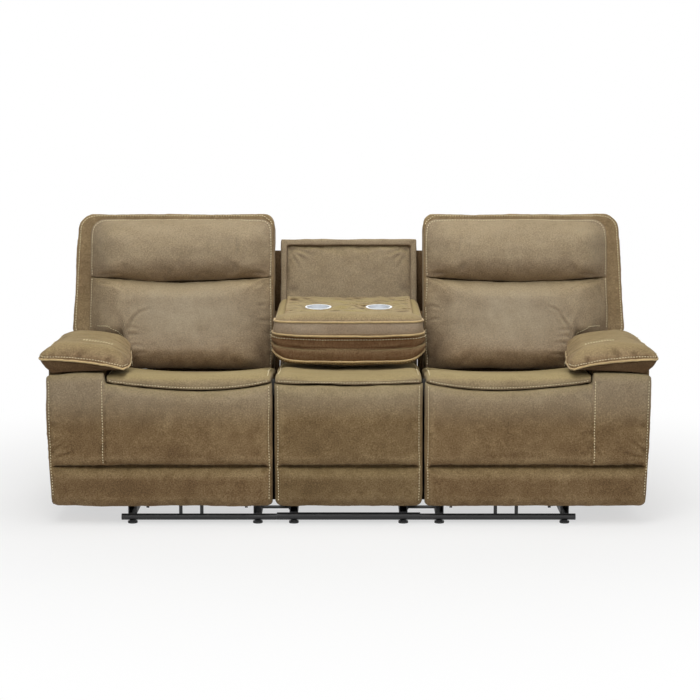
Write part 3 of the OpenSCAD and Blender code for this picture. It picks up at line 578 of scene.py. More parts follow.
def stitches(tree, path, sewing):
    """Dashes of thread along a path on a skin."""
    pitch = sewing.stitch_pitch / MILLIMETRE
    length = sewing.stitch_length / MILLIMETRE
    radius = sewing.thread_radius / MILLIMETRE
    drawn, _ = resampled(path, 4.0)
    places, _ = onto(tree, drawn, 4.0)
    centres, ways = resampled(places, pitch)
    centres, ways = centres[:-1] + 0.5 * np.diff(centres, axis=0), ways[:-1]
    sides = 6
    ends = ((-0.5, 0.4), (-0.36, 1.0), (0.36, 1.0), (0.5, 0.4))
    points, faces = [], []
    for centre, way in zip(centres, ways):
        place, normal, _, _ = tree.find_nearest(Vector(centre))
        normal = np.array(normal)
        side = np.cross(normal, way)
        side /= max(np.linalg.norm(side), 1e-9)
        middle = np.array(place) + normal * 0.45 * radius
        start = len(points)
        for shift, share in ends:
            for k in range(sides):
                angle = 2 * math.pi * k / sides
                points.append(middle + way * shift * length + share * radius
                              * (math.cos(angle) * side + 0.8 * math.sin(angle) * normal))
        for ring in range(3):
            for k in range(sides):
                a, b = start + ring * sides, start + (ring + 1) * sides
                faces.append((a + k, b + k, b + (k + 1) % sides, a + (k + 1) % sides))
        faces.append(tuple(start + k for k in range(sides)))
        faces.append(tuple(start + 3 * sides + k for k in reversed(range(sides))))
    return np.array(points), faces


def piping(tree, path, radius):
    """Corded edge that lies along a path on a skin, a little more than half of it proud."""
    out = 0.55 * radius
    drawn, _ = resampled(path, 5.0)
    places, normals = onto(tree, drawn, 5.0)
    for _ in range(2):
        normals[1:-1] = (normals[:-2] + normals[1:-1] + normals[2:]) / 3
        places[1:-1] = (places[:-2] + 2 * places[1:-1] + places[2:]) / 4
    ways = np.gradient(places, axis=0)
    ways /= np.maximum(np.linalg.norm(ways, axis=1, keepdims=True), 1e-9)
    rings = []
    last = len(places) - 1
    for i, (place, normal, way) in enumerate(zip(places, normals, ways)):
        side = np.cross(way, normal)
        side /= max(np.linalg.norm(side), 1e-9)
        normal = np.cross(side, way)
        thick = radius * (0.35 + 0.65 * roll(min(i, last - i) + 0.2, 2))
        rings.append([place + normal * out + thick
                      * (math.cos(a) * side + math.sin(a) * normal)
                      for a in np.linspace(0, 2 * math.pi, 9)[:-1]])
    return loft(rings)


# Materials

def add(tree, kind, inputs=(), out=0, **settings):
    """Adds a node with its settings, sets or links its inputs and gives one of its outputs."""
    node = tree.nodes.new("ShaderNode" + kind)
    for name, value in settings.items():
        setattr(node, name, value)
    for name, value in inputs.items() if isinstance(inputs, dict) else enumerate(inputs):
        if isinstance(value, bpy.types.NodeSocket):
            tree.links.new(value, node.inputs[name])
        else:
            node.inputs[name].default_value = value
    return node.outputs[out] if node.outputs else None


# Output and setting of a mix of two colours, whose inputs are 0 for the share and 6 and 7 for them
COLOURS = {"out": 2, "data_type": "RGBA"}


def opaque(colour):
    """A colour with full alpha, from its linear parts or its sRGB hex value."""
    return (*(linear(colour) if isinstance(colour, str) else colour), 1.0)


def patches(place, width, detail=3.0, rough=0.55):
    """Inputs of soft noise whose patches are about width millimetres wide."""
    return {"Vector": place, "Scale": 0.6 / (width * MILLIMETRE), "Detail": detail,
            "Roughness": rough}


def material(name):
    """An empty material, its node tree and each point's place on the piece."""
    made = bpy.data.materials.new(name)
    made.use_nodes = True
    made.node_tree.nodes.clear()
    return made, made.node_tree, add(made.node_tree, "TexCoord", out="Object")


def finish(made, colour, rough, relief=None, shine=None):
    """The material with its shader. relief is a height, its strength and its depth in metres."""
    tree = made.node_tree
    inputs = {"Base Color": colour, "Roughness": rough, **(shine or {})}
    if relief:
        height, strength, depth = relief
        inputs["Normal"] = add(tree, "Bump", {
            "Height": height, "Strength": strength, "Distance": depth})
    add(tree, "OutputMaterial", {"Surface": add(tree, "BsdfPrincipled", inputs)})
    return made


def suede(cloth):
    """Polyester microfibre with a brush-raised nap, woven and sanded: a soft nap that lies in cloudy
    patches, lighter where it stands up or is rubbed, with a faint sheen and no gloss. Painted shade
    goes into its folds and seams, with painted top light and painted highlights over the pieces."""
    made, tree, place = material("brushed_suede_cloth")
    top_light_tint, wear_and_crease_shade, painted_light = [add(tree, "Attribute", out="Fac", attribute_name=word)
                           for word in ("top_light_tint", "wear_and_crease_shade", "painted_light")]
    clouds = add(tree, "TexNoise", patches(place, 150, 2.5))
    blotches = add(tree, "TexNoise", patches(place, 38, 4.0, 0.62))
    # The pile itself is far finer than a pixel, so the nap is drawn at 3 mm
    nap = add(tree, "TexNoise", patches(place, 2.8, 3.0, 0.75))
    # The level starts from wear: rubbed ridges lighter, and painted shade in folds and seam grooves
    # The noises are about 0.5 each, so together they bring the level up to the brown at 0.5
    level = add(tree, "Math", (wear_and_crease_shade, 0.17, -0.46), operation="MULTIPLY_ADD")
    for field, share in ((clouds, 0.42), (blotches, 0.5), (nap, 1.0)):
        level = add(tree, "Math", (field, share, level), operation="MULTIPLY_ADD")
    colour = add(tree, "ValToRGB", {"Fac": level})
    stops = colour.node.color_ramp.elements
    stops.new(0.5)
    for stop, at, part in zip(stops, (0.06, 0.5, 0.94), (cloth.shade, cloth.brown, cloth.tan)):
        stop.position = at
        stop.color = opaque(part)
    # Painted light: where it is above 0 the pale colour is mixed in as a painted highlight, and below
    # 0 the shade colour as painted shade
    uneven = add(tree, "Math", (blotches, 0.7, 0.65), operation="MULTIPLY_ADD")
    painted_light = add(tree, "Math", (painted_light, uneven), operation="MULTIPLY")
    flat = add(tree, "Math", (painted_light, -1.0), operation="MULTIPLY")
    warm = add(tree, "TexNoise", patches(place, 95))
    warm = add(tree, "Math", (warm, 0.4, 0.25), operation="MULTIPLY_ADD")
    # Painted top light: olive where the tint is high, and russet as painted shade where it is low, in
    # random warm patches
    low = add(tree, "Math", (0.12, top_light_tint), operation="SUBTRACT")
    russet = add(tree, "Math", (low, warm), operation="MULTIPLY")
    olive = add(tree, "Math", (top_light_tint, 0.62), operation="MULTIPLY")
    for share, over in ((painted_light, cloth.pale), (flat, cloth.shade), (russet, cloth.russet),
                        (olive, cloth.olive)):
        colour = add(tree, "Mix", {0: share, 6: colour, 7: opaque(over)}, **COLOURS)
    fleck = add(tree, "MapRange", {
        "Value": nap, "From Min": 0.3, "From Max": 0.7, "To Min": 0.8, "To Max": 1.2})
    colour = add(tree, "Mix", {0: 1.0, 6: colour, 7: fleck}, blend_type="MULTIPLY", **COLOURS)
    coarse = add(tree, "TexNoise", patches(place, 14))
    coarse = add(tree, "Math", (coarse, 0.8), operation="MULTIPLY")
    grain = add(tree, "Math", (nap, 0.5, coarse), operation="MULTIPLY_ADD")
    return finish(made, colour, 0.82, (grain, 0.35, 0.0012), {
        "Specular IOR Level": 0.22, "Sheen Weight": 0.16, "Sheen Roughness": 0.45,
        "Sheen Tint": opaque("#E8D6B4")})


def piping_cloth(cloth):
    """The same brush-raised microfibre cut on the bias over a cord: its nap is rubbed pale on the
    ridge.
    """
    made, tree, place = material("bias_cut_suede_piping")
    nap = add(tree, "TexNoise", patches(place, 6, 3.0, 0.7))
    rubbed = add(tree, "TexNoise", patches(place, 45))
    rubbed = add(tree, "Math", (rubbed, 0.6), operation="MULTIPLY")
    share = add(tree, "Math", (nap, 0.5, rubbed), operation="MULTIPLY_ADD")
    colour = add(tree, "Mix", {0: share, 6: opaque(cloth.brown), 7: opaque(cloth.piping)},
                 **COLOURS)
    return finish(made, colour, 0.8, (nap, 0.3, 0.0006), {"Sheen Weight": 0.16})


def thread(cloth):
    """Spun polyester thread, twisted from two plies: pale, matt and slightly ribbed."""
    made, tree, place = material("spun_polyester_thread")
    twist = add(tree, "TexWave", {"Vector": place, "Scale": 500.0, "Distortion": 2.0}, "Fac",
                wave_type="BANDS", bands_direction="DIAGONAL")
    shaded = opaque([0.72 * part for part in cloth.thread])
    colour = add(tree, "Mix", {0: twist, 6: shaded, 7: opaque(cloth.thread)}, **COLOURS)
    return finish(made, colour, 0.7, (twist, 0.4, 0.0003))


def coated_steel():
    """Mild steel, powder coated in black: a satin coat with a fine orange-peel skin and dust."""
    made, tree, place = material("powder_coated_steel")
    peel = add(tree, "TexNoise", patches(place, 2.5, 2.0))
    dust = add(tree, "TexNoise", patches(place, 60, 4.0))
    colour = add(tree, "Mix", {0: dust, 6: opaque("#121213"), 7: opaque("#2A2A2B")}, **COLOURS)
    rough = add(tree, "MapRange", {"Value": dust, "To Min": 0.34, "To Max": 0.58})
    return finish(made, colour, rough, (peel, 0.25, 0.0003))


def moulded_plastic():
    """Black ABS, injection moulded with a spark-eroded texture: dull, with a fine even grain."""
    made, tree, place = material("moulded_abs")
    grain = add(tree, "TexNoise", patches(place, 1.2, 2.0))
    rubbed = add(tree, "TexNoise", patches(place, 18))
    colour = add(tree, "Mix", {0: rubbed, 6: opaque("#161617"), 7: opaque("#242425")}, **COLOURS)
    return finish(made, colour, 0.5, (grain, 0.3, 0.0002), {"IOR": 1.53})


def plywood():
    """Rotary-cut birch plywood, sawn and left raw: long pale grain with darker growth lines."""
    made, tree, place = material("raw_plywood")
    place = add(tree, "Mapping", {"Vector": place, "Scale": (1.0, 0.12, 1.0)})
    grain = add(tree, "TexNoise", patches(place, 9, 5.0, 0.65))
    figure = add(tree, "TexNoise", patches(place, 60))
    figure = add(tree, "Math", (figure, 0.35), operation="MULTIPLY")
    colour = add(tree, "Mix", {0: grain, 6: opaque("#A9855A"), 7: opaque("#DDC193")}, **COLOURS)
    colour = add(tree, "Mix", {0: figure, 6: colour, 7: opaque("#B58F5E")}, **COLOURS)
    return finish(made, colour, 0.72, (grain, 0.3, 0.0004))


def satin_steel():
    """Stainless steel, deep drawn with a satin brush finish: bright and hazy, so that a cup looks
    pale from every side."""
    made, tree, place = material("satin_stainless_steel")
    haze = add(tree, "TexNoise", patches(place, 12, 4.0))
    rough = add(tree, "MapRange", {"Value": haze, "To Min": 0.36, "To Max": 0.5})
    colour = add(tree, "Mix", {0: haze, 6: opaque("#E2E6EA"), 7: opaque("#FAFBFC")}, **COLOURS)
    return finish(made, colour, rough, shine={"Metallic": 1.0})


def zinc_steel():
    """Machined steel, zinc plated: grey-blue metal with a slightly cloudy, passivated skin."""
    made, tree, place = material("zinc_plated_steel")
    cloud = add(tree, "TexNoise", patches(place, 22, 4.0))
    colour = add(tree, "Mix", {0: cloud, 6: opaque("#8E9298"), 7: opaque("#B4B8BC")}, **COLOURS)
    return finish(made, colour, 0.38, shine={"Metallic": 1.0})


def lining_cloth():
    """Spunbonded polypropylene lining: dull charcoal cloth, embossed with a grid of small dots."""
    made, tree, place = material("spunbonded_lining_cloth")
    fibres = add(tree, "TexNoise", patches(place, 3, 4.0, 0.7))
    dots = add(tree, "TexVoronoi", {"Vector": place, "Scale": 300.0, "Randomness": 0.15})
    colour = add(tree, "Mix", {0: fibres, 6: opaque("#1D1B19"), 7: opaque("#35312C")}, **COLOURS)
    return finish(made, colour, 0.88, (dots, 0.4, 0.0004))


MATERIALS = {}


def make_materials(scene):
    """Makes each material once."""
    if MATERIALS:
        return
    cloth = scene.sofa_cloth
    MATERIALS.update(
        suede=suede(cloth), piping=piping_cloth(cloth), thread=thread(cloth),
        steel=coated_steel(), plastic=moulded_plastic(), plywood=plywood(),
        satin=satin_steel(), zinc=zinc_steel(), lining=lining_cloth())


# Pieces

def build(name, parts):
    """One object, in metres, from parts in millimetres.

    A part is (points, faces, material key, tint, wear, painted light): the tint is painted top light
    and shade, the wear is rubbed wear with painted shade in folds, and the painted light is painted
    highlight and shade.
    """
    points = np.concatenate([p[0] for p in parts])
    faces, slots, start = [], [], 0
    keys = []
    for part_points, part_faces, key, *_ in parts:
        if key not in keys:
            keys.append(key)
        faces += [[i + start for i in f] for f in part_faces]
        slots += [keys.index(key)] * len(part_faces)
        start += len(part_points)
    mesh = bpy.data.meshes.new(name)
    mesh.from_pydata((points * MILLIMETRE).tolist(), [], faces)
    mesh.polygons.foreach_set("material_index", slots)
    mesh.polygons.foreach_set("use_smooth", [True] * len(faces))
    for k, word in ((3, "top_light_tint"), (4, "wear_and_crease_shade"), (5, "painted_light")):
        values = np.concatenate([np.broadcast_to(p[k], len(p[0])) for p in parts])
        mark = mesh.attributes.new(word, "FLOAT", "POINT")
        mark.data.foreach_set("value", values.astype(np.float32))
    for key in keys:
        mesh.materials.append(MATERIALS[key])
    mesh.validate()
    made = bpy.data.objects.new(name, mesh)
    bpy.context.scene.collection.objects.link(made)
    return made


def join_frame(piece, body, node):
    """Fastens a padded piece to its body, in place of the CAD node that it stands for."""
    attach(piece, body)
    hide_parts(node)


def painted_top_light(normals):
    """Painted top light: cloth that faces up is painted lighter and greener, and cloth that faces down
    a little browner.
    """
    up = normals[:, 2]
    return 0.95 * np.clip(up, 0, 1) ** 1.3 - 0.25 * np.clip(-up, 0, 1)


def shifted_top_light(shift):
    """Painted top light of a piece, with all of its cloth shifted alike, up to olive or down to
    russet.
    """
    return lambda points, normals: painted_top_light(normals) + shift


def even(share):
    """Painted highlight, or painted shade below 0, alike all over a piece."""
    return lambda points: np.full(len(points), share)


def sew(node, skin, side, body, relief, top_light_tint, painted_light=even(0.0), seams=(), pipes=(),
        extras=()):
    """Finishes a soft piece: relief, painted light and shade, stitches along seams and piping along
    pipes.

    relief(points, tree) gives each point's height. seams are paths, and pipes are pairs of a
    path and a share of the piping's radius. side is 1 for the right hand piece and -1 for the left.
    The function of points for painted light gives 1 for a painted highlight and -1 for painted shade.
    """
    sewing = bpy.context.scene.sofa_sewing
    points, faces = skin
    normals = normals_of(points, faces)
    tree = tree_of(points, faces)
    points = points + normals * (sewing.folds * relief(points, tree))[:, None]
    normals = normals_of(points, faces)
    wear_and_crease_shade = wear_and_crease_shade_of(points, faces, normals)
    # Each seam's groove is painted darker, as the shade in it
    for path in seams:
        wear_and_crease_shade = wear_and_crease_shade + groove(points, path, 5, 0.8)
    tree = tree_of(points, faces)
    radius = sewing.piping_radius / MILLIMETRE
    parts = [(points, faces, "suede", top_light_tint(points, normals), wear_and_crease_shade, painted_light(points))]
    parts += [(*stitches(tree, path, sewing), "thread", 0.0, 0.0, 0.0) for path in seams]
    parts += [(*piping(tree, path, share * radius), "piping", 0.3, 0.3, 0.0)
              for path, share in pipes]
    parts += extras
    if side < 0:
        parts = [(*mirrored(p[0], p[1]), *p[2:]) for p in parts]
    join_frame(build(f"{node}_cloth", parts), body, node)


def seam_height(x, x0, x1, seam):
    """Height of the seam under a seat's lip."""
    low, climb, shift = seam
    share = (2 * x - x0 - x1) / (x1 - x0)
    return low + climb * (share + shift * (1 - share ** 2)) ** 2


# Front panels

PANEL_BACK = PANEL_HIGH[1]
PANEL_THICK = PANEL_BACK - PANEL_LOW[1]
# Front of the panels at their crease
CREASE_FACE = -446.0
# Lining cloth behind the panels
LINING_FRONT = -407.5
LINING_REAR = -404.5
LINING_FOOT = 80.0


def panel_outline(points, x1):
    """Draws the outer side of an end panel in towards its foot."""
    inward = np.interp(points[:, 2], [63, 110, 160, 205, 260, 330], [10, 9, 7, 5, 2, 0])
    share = np.clip((points[:, 0] - x1 + 230) / 230, 0, 1) ** 2
    return points - np.stack([inward * share, 0 * share, 0 * share], 1)


def panel_skin(x0, x1, top, corners, tapered):
    """Front panel with a crease across it, settled and refined."""
    columns = x0 + crowd(x1 - x0, 10.5)
    if tapered:
        columns = np.unique(np.concatenate([columns, ARM_SEAM + np.array([-7, -3, 3, 7])]))
    reach = np.minimum(columns - x0, x1 - columns)
    radius = np.where(columns - x0 < x1 - columns, corners[0], corners[1])
    dip = np.clip(radius - reach, 0, None)
    lows = PANEL_LOW[2] + radius - np.sqrt(np.clip(radius ** 2 - dip ** 2, 0, None))
    highs = top(columns)
    under = between(lows, 0 * lows + CREASE_HEIGHT - 2, crowd(140, 11))
    over = between(0 * lows + CREASE_HEIGHT + 2, highs, crowd(300, 11))
    heights = np.concatenate([under, over], 1)

    def depth(along, up, low, high):
        side = np.minimum(along - x0, x1 - along)
        edge = 0.22 + 0.53 * roll(side, 14) + 0.25 * roll(side, 120)
        foot = 0.14 + 0.86 * roll(up - low, 32)
        away = np.abs(up - CREASE_HEIGHT)
        sunk = 0.42 * (1 - rise(away, 2, 28)) + 0.46 * (1 - roll(away - 2, 7))
        crease = 1 - sunk * ease((side - 5) / 24)
        crown = 0.62 + 0.38 * roll(high - up, 20)
        return 0.985 * PANEL_THICK * edge * foot * crease * crown

    rows = under.shape[1]
    points, faces, hold = pad(columns, heights, depth, creases=(rows - 1, rows))
    points = np.stack([points[:, 0], PANEL_BACK - points[:, 1], points[:, 2]], 1)
    if tapered:
        points = panel_outline(points, x1)
        seam = (np.abs(points[:, 0] - ARM_SEAM) < 1.5) & (points[:, 2] > CREASE_HEIGHT)
        hold[seam] = 1
    faces = outward(points, faces)
    points = settle(points, faces, hold, 3.0, pressure=1.5)
    points[:, 1] = np.maximum(points[:, 1], PANEL_LOW[1] - 3)
    return refine(points, faces)


def end_panel_top(x):
    """Top of an end panel: under the seat's lip, and higher beside the arm."""
    seat = seam_height(np.minimum(x, SEAT_HIGH[0]), SEAT_LOW[0], SEAT_HIGH[0], END_SEAM) - 5
    corner = np.clip(20 - (PANEL_HIGH[0] - x), 0, None)
    arm = PANEL_HIGH[2] - 1.5 - 20 + np.sqrt(np.clip(400 - corner ** 2, 0, None))
    arm = arm + 7 * ease((PANEL_HIGH[0] - x) / 110)
    return seat + (arm - seat) * ease((x - ARM_SEAM + 3) / 7)


class SOFA_OT_front_panels(bpy.types.Operator):
    """Padded front panels: one under each end seat and arm, and one under the centre seat"""

    bl_idname = "sofa.front_panels"
    bl_label = "Front panels"

    def execute(self, context):
        make_materials(context.scene)
        x0, x1 = PANEL_LOW[0] - 3, PANEL_HIGH[0]
        skin = panel_skin(x0, x1, end_panel_top, (18, 26), True)
        for side, word in ((1, "right"), (-1, "left")):
            seed = 11 if side > 0 else 47
            outer = self.row(x1 - 10, 105, 508, x1)
            inner = self.row(x0 + 10, 92, 494, x1)
            joint = self.row(ARM_SEAM, CREASE_HEIGHT + 4, 526, x1)
            beside = self.row(ARM_SEAM + 10, CREASE_HEIGHT + 12, 516, x1)

            def relief(points, tree, seed=seed, outer=outer, inner=inner, joint=joint):
                height = ripples(points, seed, (1.1, 95), (0.5, 34))
                height += groove(points, joint, 3.5, 4.5)
                height += groove(points, outer, 3, 1.4) + groove(points, inner, 3, 1.4)
                front = points[:, 1] < PANEL_BACK - 4
                near = np.array([(x1 - 12, CREASE_FACE - 2, z) for z in (225, 330, 430)])
                height += gather(points, near, 42, 46, 1.5, seed + 2)
                crease = np.array([(x, CREASE_FACE, CREASE_HEIGHT) for x in (x0 + 12, x1 - 20)])
                height += gather(points, crease, 17, 60, 1.2, seed + 3)
                for k, (start, end) in enumerate((((x1 - 14, 236), (x1 - 95, 262)),
                                                  ((x1 - 14, 262), (x1 - 70, 300)),
                                                  ((x1 - 16, 214), (x1 - 60, 224)))):
                    height += drawn_fold(points, tree, [start, end], 4.0, 2.2 - 0.4 * k)
                return np.where(front, height, 0)

            # Painted top light: the roll under the lip and the upper part are painted lighter and
            # greener, as lit from above
            def top_light_tint(points, normals):
                top = ease((points[:, 2] - end_panel_top(points[:, 0]) + 34) / 30)
                base = 0.4 * painted_top_light(normals) + 0.34 * top
                return base + 0.06 * ease((points[:, 2] - 150) / 330)

            # Painted highlight on the upper part, and painted shade below the crease
            def painted_light(points):
                high = ease((points[:, 2] - 330) / 150)
                return 0.55 * high - 0.1 * ease((215 - points[:, 2]) / 30)

            sew(f"{word}_legrest_pad", skin, side, f"{word}_legrest", relief, top_light_tint=top_light_tint,
                painted_light=painted_light, seams=[outer, inner, beside])
        self.centre()
        return {"FINISHED"}

    def row(self, x, low, high, x1):
        """Path up a panel's front, drawn in as the panel's outline is."""
        path = np.array([(x, PANEL_LOW[1] + 6, z) for z in np.linspace(low, high, 20)])
        return panel_outline(path, x1)

    def centre(self):
        """The centre seat's own panel, which doesn't move."""
        x0, x1 = CENTRE_LOW[0] - 3, CENTRE_HIGH[0] + 3

        def top(x):
            return seam_height(x, x0, x1, MIDDLE_SEAM) - 5

        skin = panel_skin(x0, x1, top, (24, 24), False)
        rows = [np.array([(x, PANEL_LOW[1] + 6, z) for z in np.linspace(86, 496, 20)])
                for x in (x0 + 11, x1 - 11)]

        def relief(points, tree):
            height = ripples(points, 71, (1.0, 90), (0.5, 30))
            for path in rows:
                height += groove(points, path, 3, 1.6)
                height += gather(points, path, 26, 40, 0.9, 73)
            crease = np.array([(x, CREASE_FACE, CREASE_HEIGHT) for x in (x0 + 12, x1 - 12)])
            height += gather(points, crease, 16, 55, 1.0, 74)
            return np.where(points[:, 1] < PANEL_BACK - 4, height, 0)

        # Painted top light: the roll under the lip is painted lighter and greener, as lit from above
        def top_light_tint(points, normals):
            high = ease((points[:, 2] - top(points[:, 0]) + 60) / 56)
            return 0.4 * painted_top_light(normals) + 0.34 * high + 0.1

        # Painted highlight on the upper part, and painted shade below the crease
        def painted_light(points):
            high = ease((points[:, 2] - 340) / 150)
            return -0.05 + 0.6 * high - 0.2 * ease((215 - points[:, 2]) / 30)

        # One flap of lining closes the gaps behind all three panels, and a strip on each side
        # goes on up between the seats
        # The lining closes gaps that would show the background, and its dark cloth stands in for the
        # shade in them
        reach = PANEL_LOW[0] + 6
        strip = (x1 - 1.5, reach - 5.5)
        flaps = [prism(rectangle(a, b, LINING_FRONT, LINING_REAR), LINING_FOOT, high, 2)
                 for a, b, high in ((-reach, reach, 448), (-strip[1], -strip[0], 506),
                                    (*strip, 506))]
        extras = [(*merged(*flaps), "lining", 0.0, 0.0, 0.0)]
        sew("centre_front_pad", skin, 1, "frame", relief, top_light_tint=top_light_tint, painted_light=painted_light,
            seams=rows, extras=extras)


# Seats

# Where a seat's underside turns up behind the front panel
SEAT_STEP = -401.0
# Places from the front to the rear at which a seat's top is given
SINK_PLACES = (-400, -340, -200, -80, 20)


def seat_skin(low, high, seam_line, sinks, falls):
    """Seat cushion with a lip that overhangs the front panel, settled and refined.

    sinks is how far the top lies under its crest at each of SINK_PLACES, and falls how far the
    crest comes down at the inner and outer end.
    """
    x0, x1 = low[0], high[0]
    deck = low[2]
    nose_y, rear_y = low[1], high[1]
    rings, held = [], []
    for x in x0 + crowd(x1 - x0, 13, first=2.0):
        s = (2 * x - x0 - x1) / (x1 - x0)
        reach = min(x - x0, x1 - x)
        seam = seam_height(x, x0, x1, seam_line)
        drop = (falls[0] if s < 0 else falls[1]) * (1 - roll(reach + 1, 30))
        crest = max(high[2] + 2 - 9 * (1 - s * s) - drop, seam + 7)
        nose = nose_y + 7 * (1 - roll(reach + 1, 24))
        middle = seam + 0.5 * (crest - seam)
        lip = [(rear_y, deck + 4), (rear_y - 8, deck), (rear_y - 160, deck), (-270, deck),
               (SEAT_STEP, deck), (SEAT_STEP - 2, deck + 16), (SEAT_STEP - 3, seam - 1),
               (nose + 14, seam - 2),
               (nose + 4, seam - 0.5), (nose, seam + 3.5), (nose - 1.5, middle),
               (nose + 1, crest - 7), (nose + 5, crest - 3.4), (nose + 12, crest - 1.2),
               (nose + 26, crest - 0.4), (nose + 44, crest)]
        top_y = np.linspace(nose + 62, rear_y - 26, 26)
        sink = np.interp(top_y, SINK_PLACES, sinks) * (1 - 0.2 * s * s)
        hollow = 5 * (1 - s * s) * np.sin(math.pi * np.clip((top_y + 430) / 430, 0, 1))
        top_z = np.maximum(crest - sink - hollow, deck + 4)
        lip += list(zip(top_y, top_z))
        lip += [(rear_y - 10, top_z[-1] - 1), (rear_y - 2, top_z[-1] - 3)]
        rings.append([(x, y, z) for y, z in lip])
        # The cloth is free from the lip's nose upwards, and less so at the rear of the top
        free = np.zeros(len(lip))
        free[11:-2] = 1
        free[-12:-2] = 0.3
        held.append(1 - free)
    hold = np.array(held)
    hold[[0, -1]] = 1
    hold[[1, -2]] = np.maximum(hold[[1, -2]], 0.5)
    points, faces = loft(rings)
    hold = np.concatenate([hold.ravel(), [1, 1]])
    points = settle(points, faces, hold, 4.0, pressure=1.2, slack=0.01)
    points[:, 2] = np.minimum(points[:, 2], high[2] + 4)
    return refine(points, faces)


class SOFA_OT_seat_cushions(bpy.types.Operator):
    """The three seat cushions, each with a stitched lip"""

    bl_idname = "sofa.seat_cushions"
    bl_label = "Seat cushions"

    def execute(self, context):
        make_materials(context.scene)
        skin = seat_skin(SEAT_LOW, SEAT_HIGH, END_SEAM, (0, 3, 24, 44, 56), (22, 3))
        for side, word, seed in ((1, "right", 101), (-1, "left", 131)):
            self.cushion(f"{word}_seat_cushion", skin, side, f"{word}_carriage", SEAT_LOW,
                         SEAT_HIGH, END_SEAM, seed)
        skin = seat_skin(MIDDLE_LOW, MIDDLE_HIGH, MIDDLE_SEAM, (0, 0, 9, 22, 34), (20, 20))
        self.cushion("centre_seat_cushion", skin, 1, "frame", MIDDLE_LOW, MIDDLE_HIGH,
                     MIDDLE_SEAM, 151)
        return {"FINISHED"}

    def cushion(self, node, skin, side, body, low, high, seam_line, seed):
        """One seat cushion with a row of stitches above its lip's seam."""
        x0, x1 = low[0], high[0]
        xs = np.linspace(x0 + 8, x1 - 8, 40)
        row = np.stack([xs, 0 * xs + low[1] - 2, seam_height(xs, x0, x1, seam_line) + 6], 1)
        edges = [np.array([(x, y, high[2]) for y in np.linspace(low[1] + 40, -20, 12)])
                 for x in (x0 + 9, x1 - 9)]

        def relief(points, tree):
            top = ease((points[:, 2] - low[2] - 24) / 12)
            height = top * ripples(points, seed, (1.3, 85), (0.6, 30))
            height += groove(points, row, 2.4, 1.3)
            height += gather(points, row, 20, 38, 1.1, seed + 2)
            return height

        # The seats get painted top light and a painted highlight all over
        sew(node, skin, side, body, relief, top_light_tint=shifted_top_light(0.2), painted_light=even(0.35),
            seams=[row, *edges])


# Arm pillows

def welt_height(share):
    """Height of the arm pillow's welt across its width, from the inner to the outer tip."""
    return PILLOW_LOW[2] + 2.5 + 34 * np.sin(0.5 * math.pi * np.clip(share, 0, 1)) ** 0.7


def pillow_taper(y):
    """How far the pillow's inner side is drawn in towards its rear."""
    return 46 * np.clip((y + 325) / 400, 0, 1)


def pillow_skin():
    """Arm pillow: a crowned top over a boxing that is deeper outside, settled and refined."""
    x0, x1 = PILLOW_LOW[0], PILLOW_HIGH[0]
    y0, y1 = PILLOW_LOW[1], PILLOW_HIGH[1]
    base = PILLOW_LOW[2]
    shares = 0.5 - 0.5 * np.cos(np.linspace(0, math.pi, 27))
    rings, held = [], []
    for y in y0 + crowd(y1 - y0, 14, first=2.0):
        t = (y - y0) / (y1 - y0)
        dome = roll(y - y0, 78) * (0.72 + 0.28 * roll(y1 - y, 40))
        peak = (55 - 22 * t) * dome
        inset = 16 * (1 - roll(y - y0 + 1, 60)) + 4 * (1 - roll(y1 - y, 30))
        left, right = x0 + inset + pillow_taper(y), x1 - inset
        across = left + (right - left) * shares
        full = np.where(shares < 0.5, 3.4, 2.3)
        crown = (1 - np.abs(2 * shares - 1) ** full) ** (1 / full)
        top = welt_height(shares) + peak * crown
        setback = 14 * (1 - roll(y - y0, 40))
        ring = [(x, y, z) for x, z in zip(across, top)]
        outer_z = welt_height(1.0)
        # In front of the arm the boxing hangs lower than the arm's top and slopes inwards
        free = 1 - ease((y - ARM_LOW[1] + 9) / 6)
        sole = base - 13 * free
        corner = ARM_HIGH[0] + 2 - 24 * free
        side_y = y + setback
        under = [(right - 3, y + 0.3 * setback, outer_z - 9),
                 (0.5 * (right + corner) + 5, y + 0.6 * setback, 0.5 * (outer_z + sole) - 3),
                 (corner + 3, side_y, sole + 8), (corner - 6, side_y, sole)]
        for share in (0.78, 0.62, 0.42, 0.22):
            lift = 13 * free * (1 - share) ** 0.6
            under.append((left + (right - left) * share, side_y, sole + lift))
        sole += 13 * free
        under += [(left + 18, side_y, sole), (left + 6, y + 0.5 * setback, sole + 0.8)]
        rings.append(ring + under)
        hold = np.ones(len(ring) + len(under))
        hold[2:len(ring) - 2] = 0
        held.append(hold)
    hold = np.array(held)
    hold[[0, -1]] = 1
    points, faces = loft(rings)
    hold = np.concatenate([hold.ravel(), [1, 1]])
    points = settle(points, faces, hold, 5.0, pressure=2.0, slack=0.02)
    return refine(points, faces)


def welt_path(lift=0.0, inward=0.0):
    """Path along the arm pillow's welt: up one side, round the front and back up the other."""
    x0, x1 = PILLOW_LOW[0] + inward, PILLOW_HIGH[0] - inward
    y0, y1 = PILLOW_LOW[1], PILLOW_HIGH[1]
    low, high = welt_height(0.0) + lift, welt_height(1.0) + lift
    path = [(x0 + pillow_taper(y), y, low) for y in np.linspace(y1 - 120, y0 + 70, 12)]
    corner = [(16 * (1 - roll(reach + 1, 60)), reach) for reach in (50, 34, 22, 13, 6, 1)]
    path += [(x0 + inset, y0 + reach, low) for inset, reach in corner]
    path += [(x0 + 14 + (x1 - x0 - 28) * share, y0, welt_height(share) + lift)
             for share in np.linspace(0.02, 0.98, 14)]
    path += [(x1 - inset, y0 + reach, high) for inset, reach in corner[::-1]]
    path += [(x1, y, high) for y in np.linspace(y0 + 70, y1 - 8, 12)]
    return np.array(path)


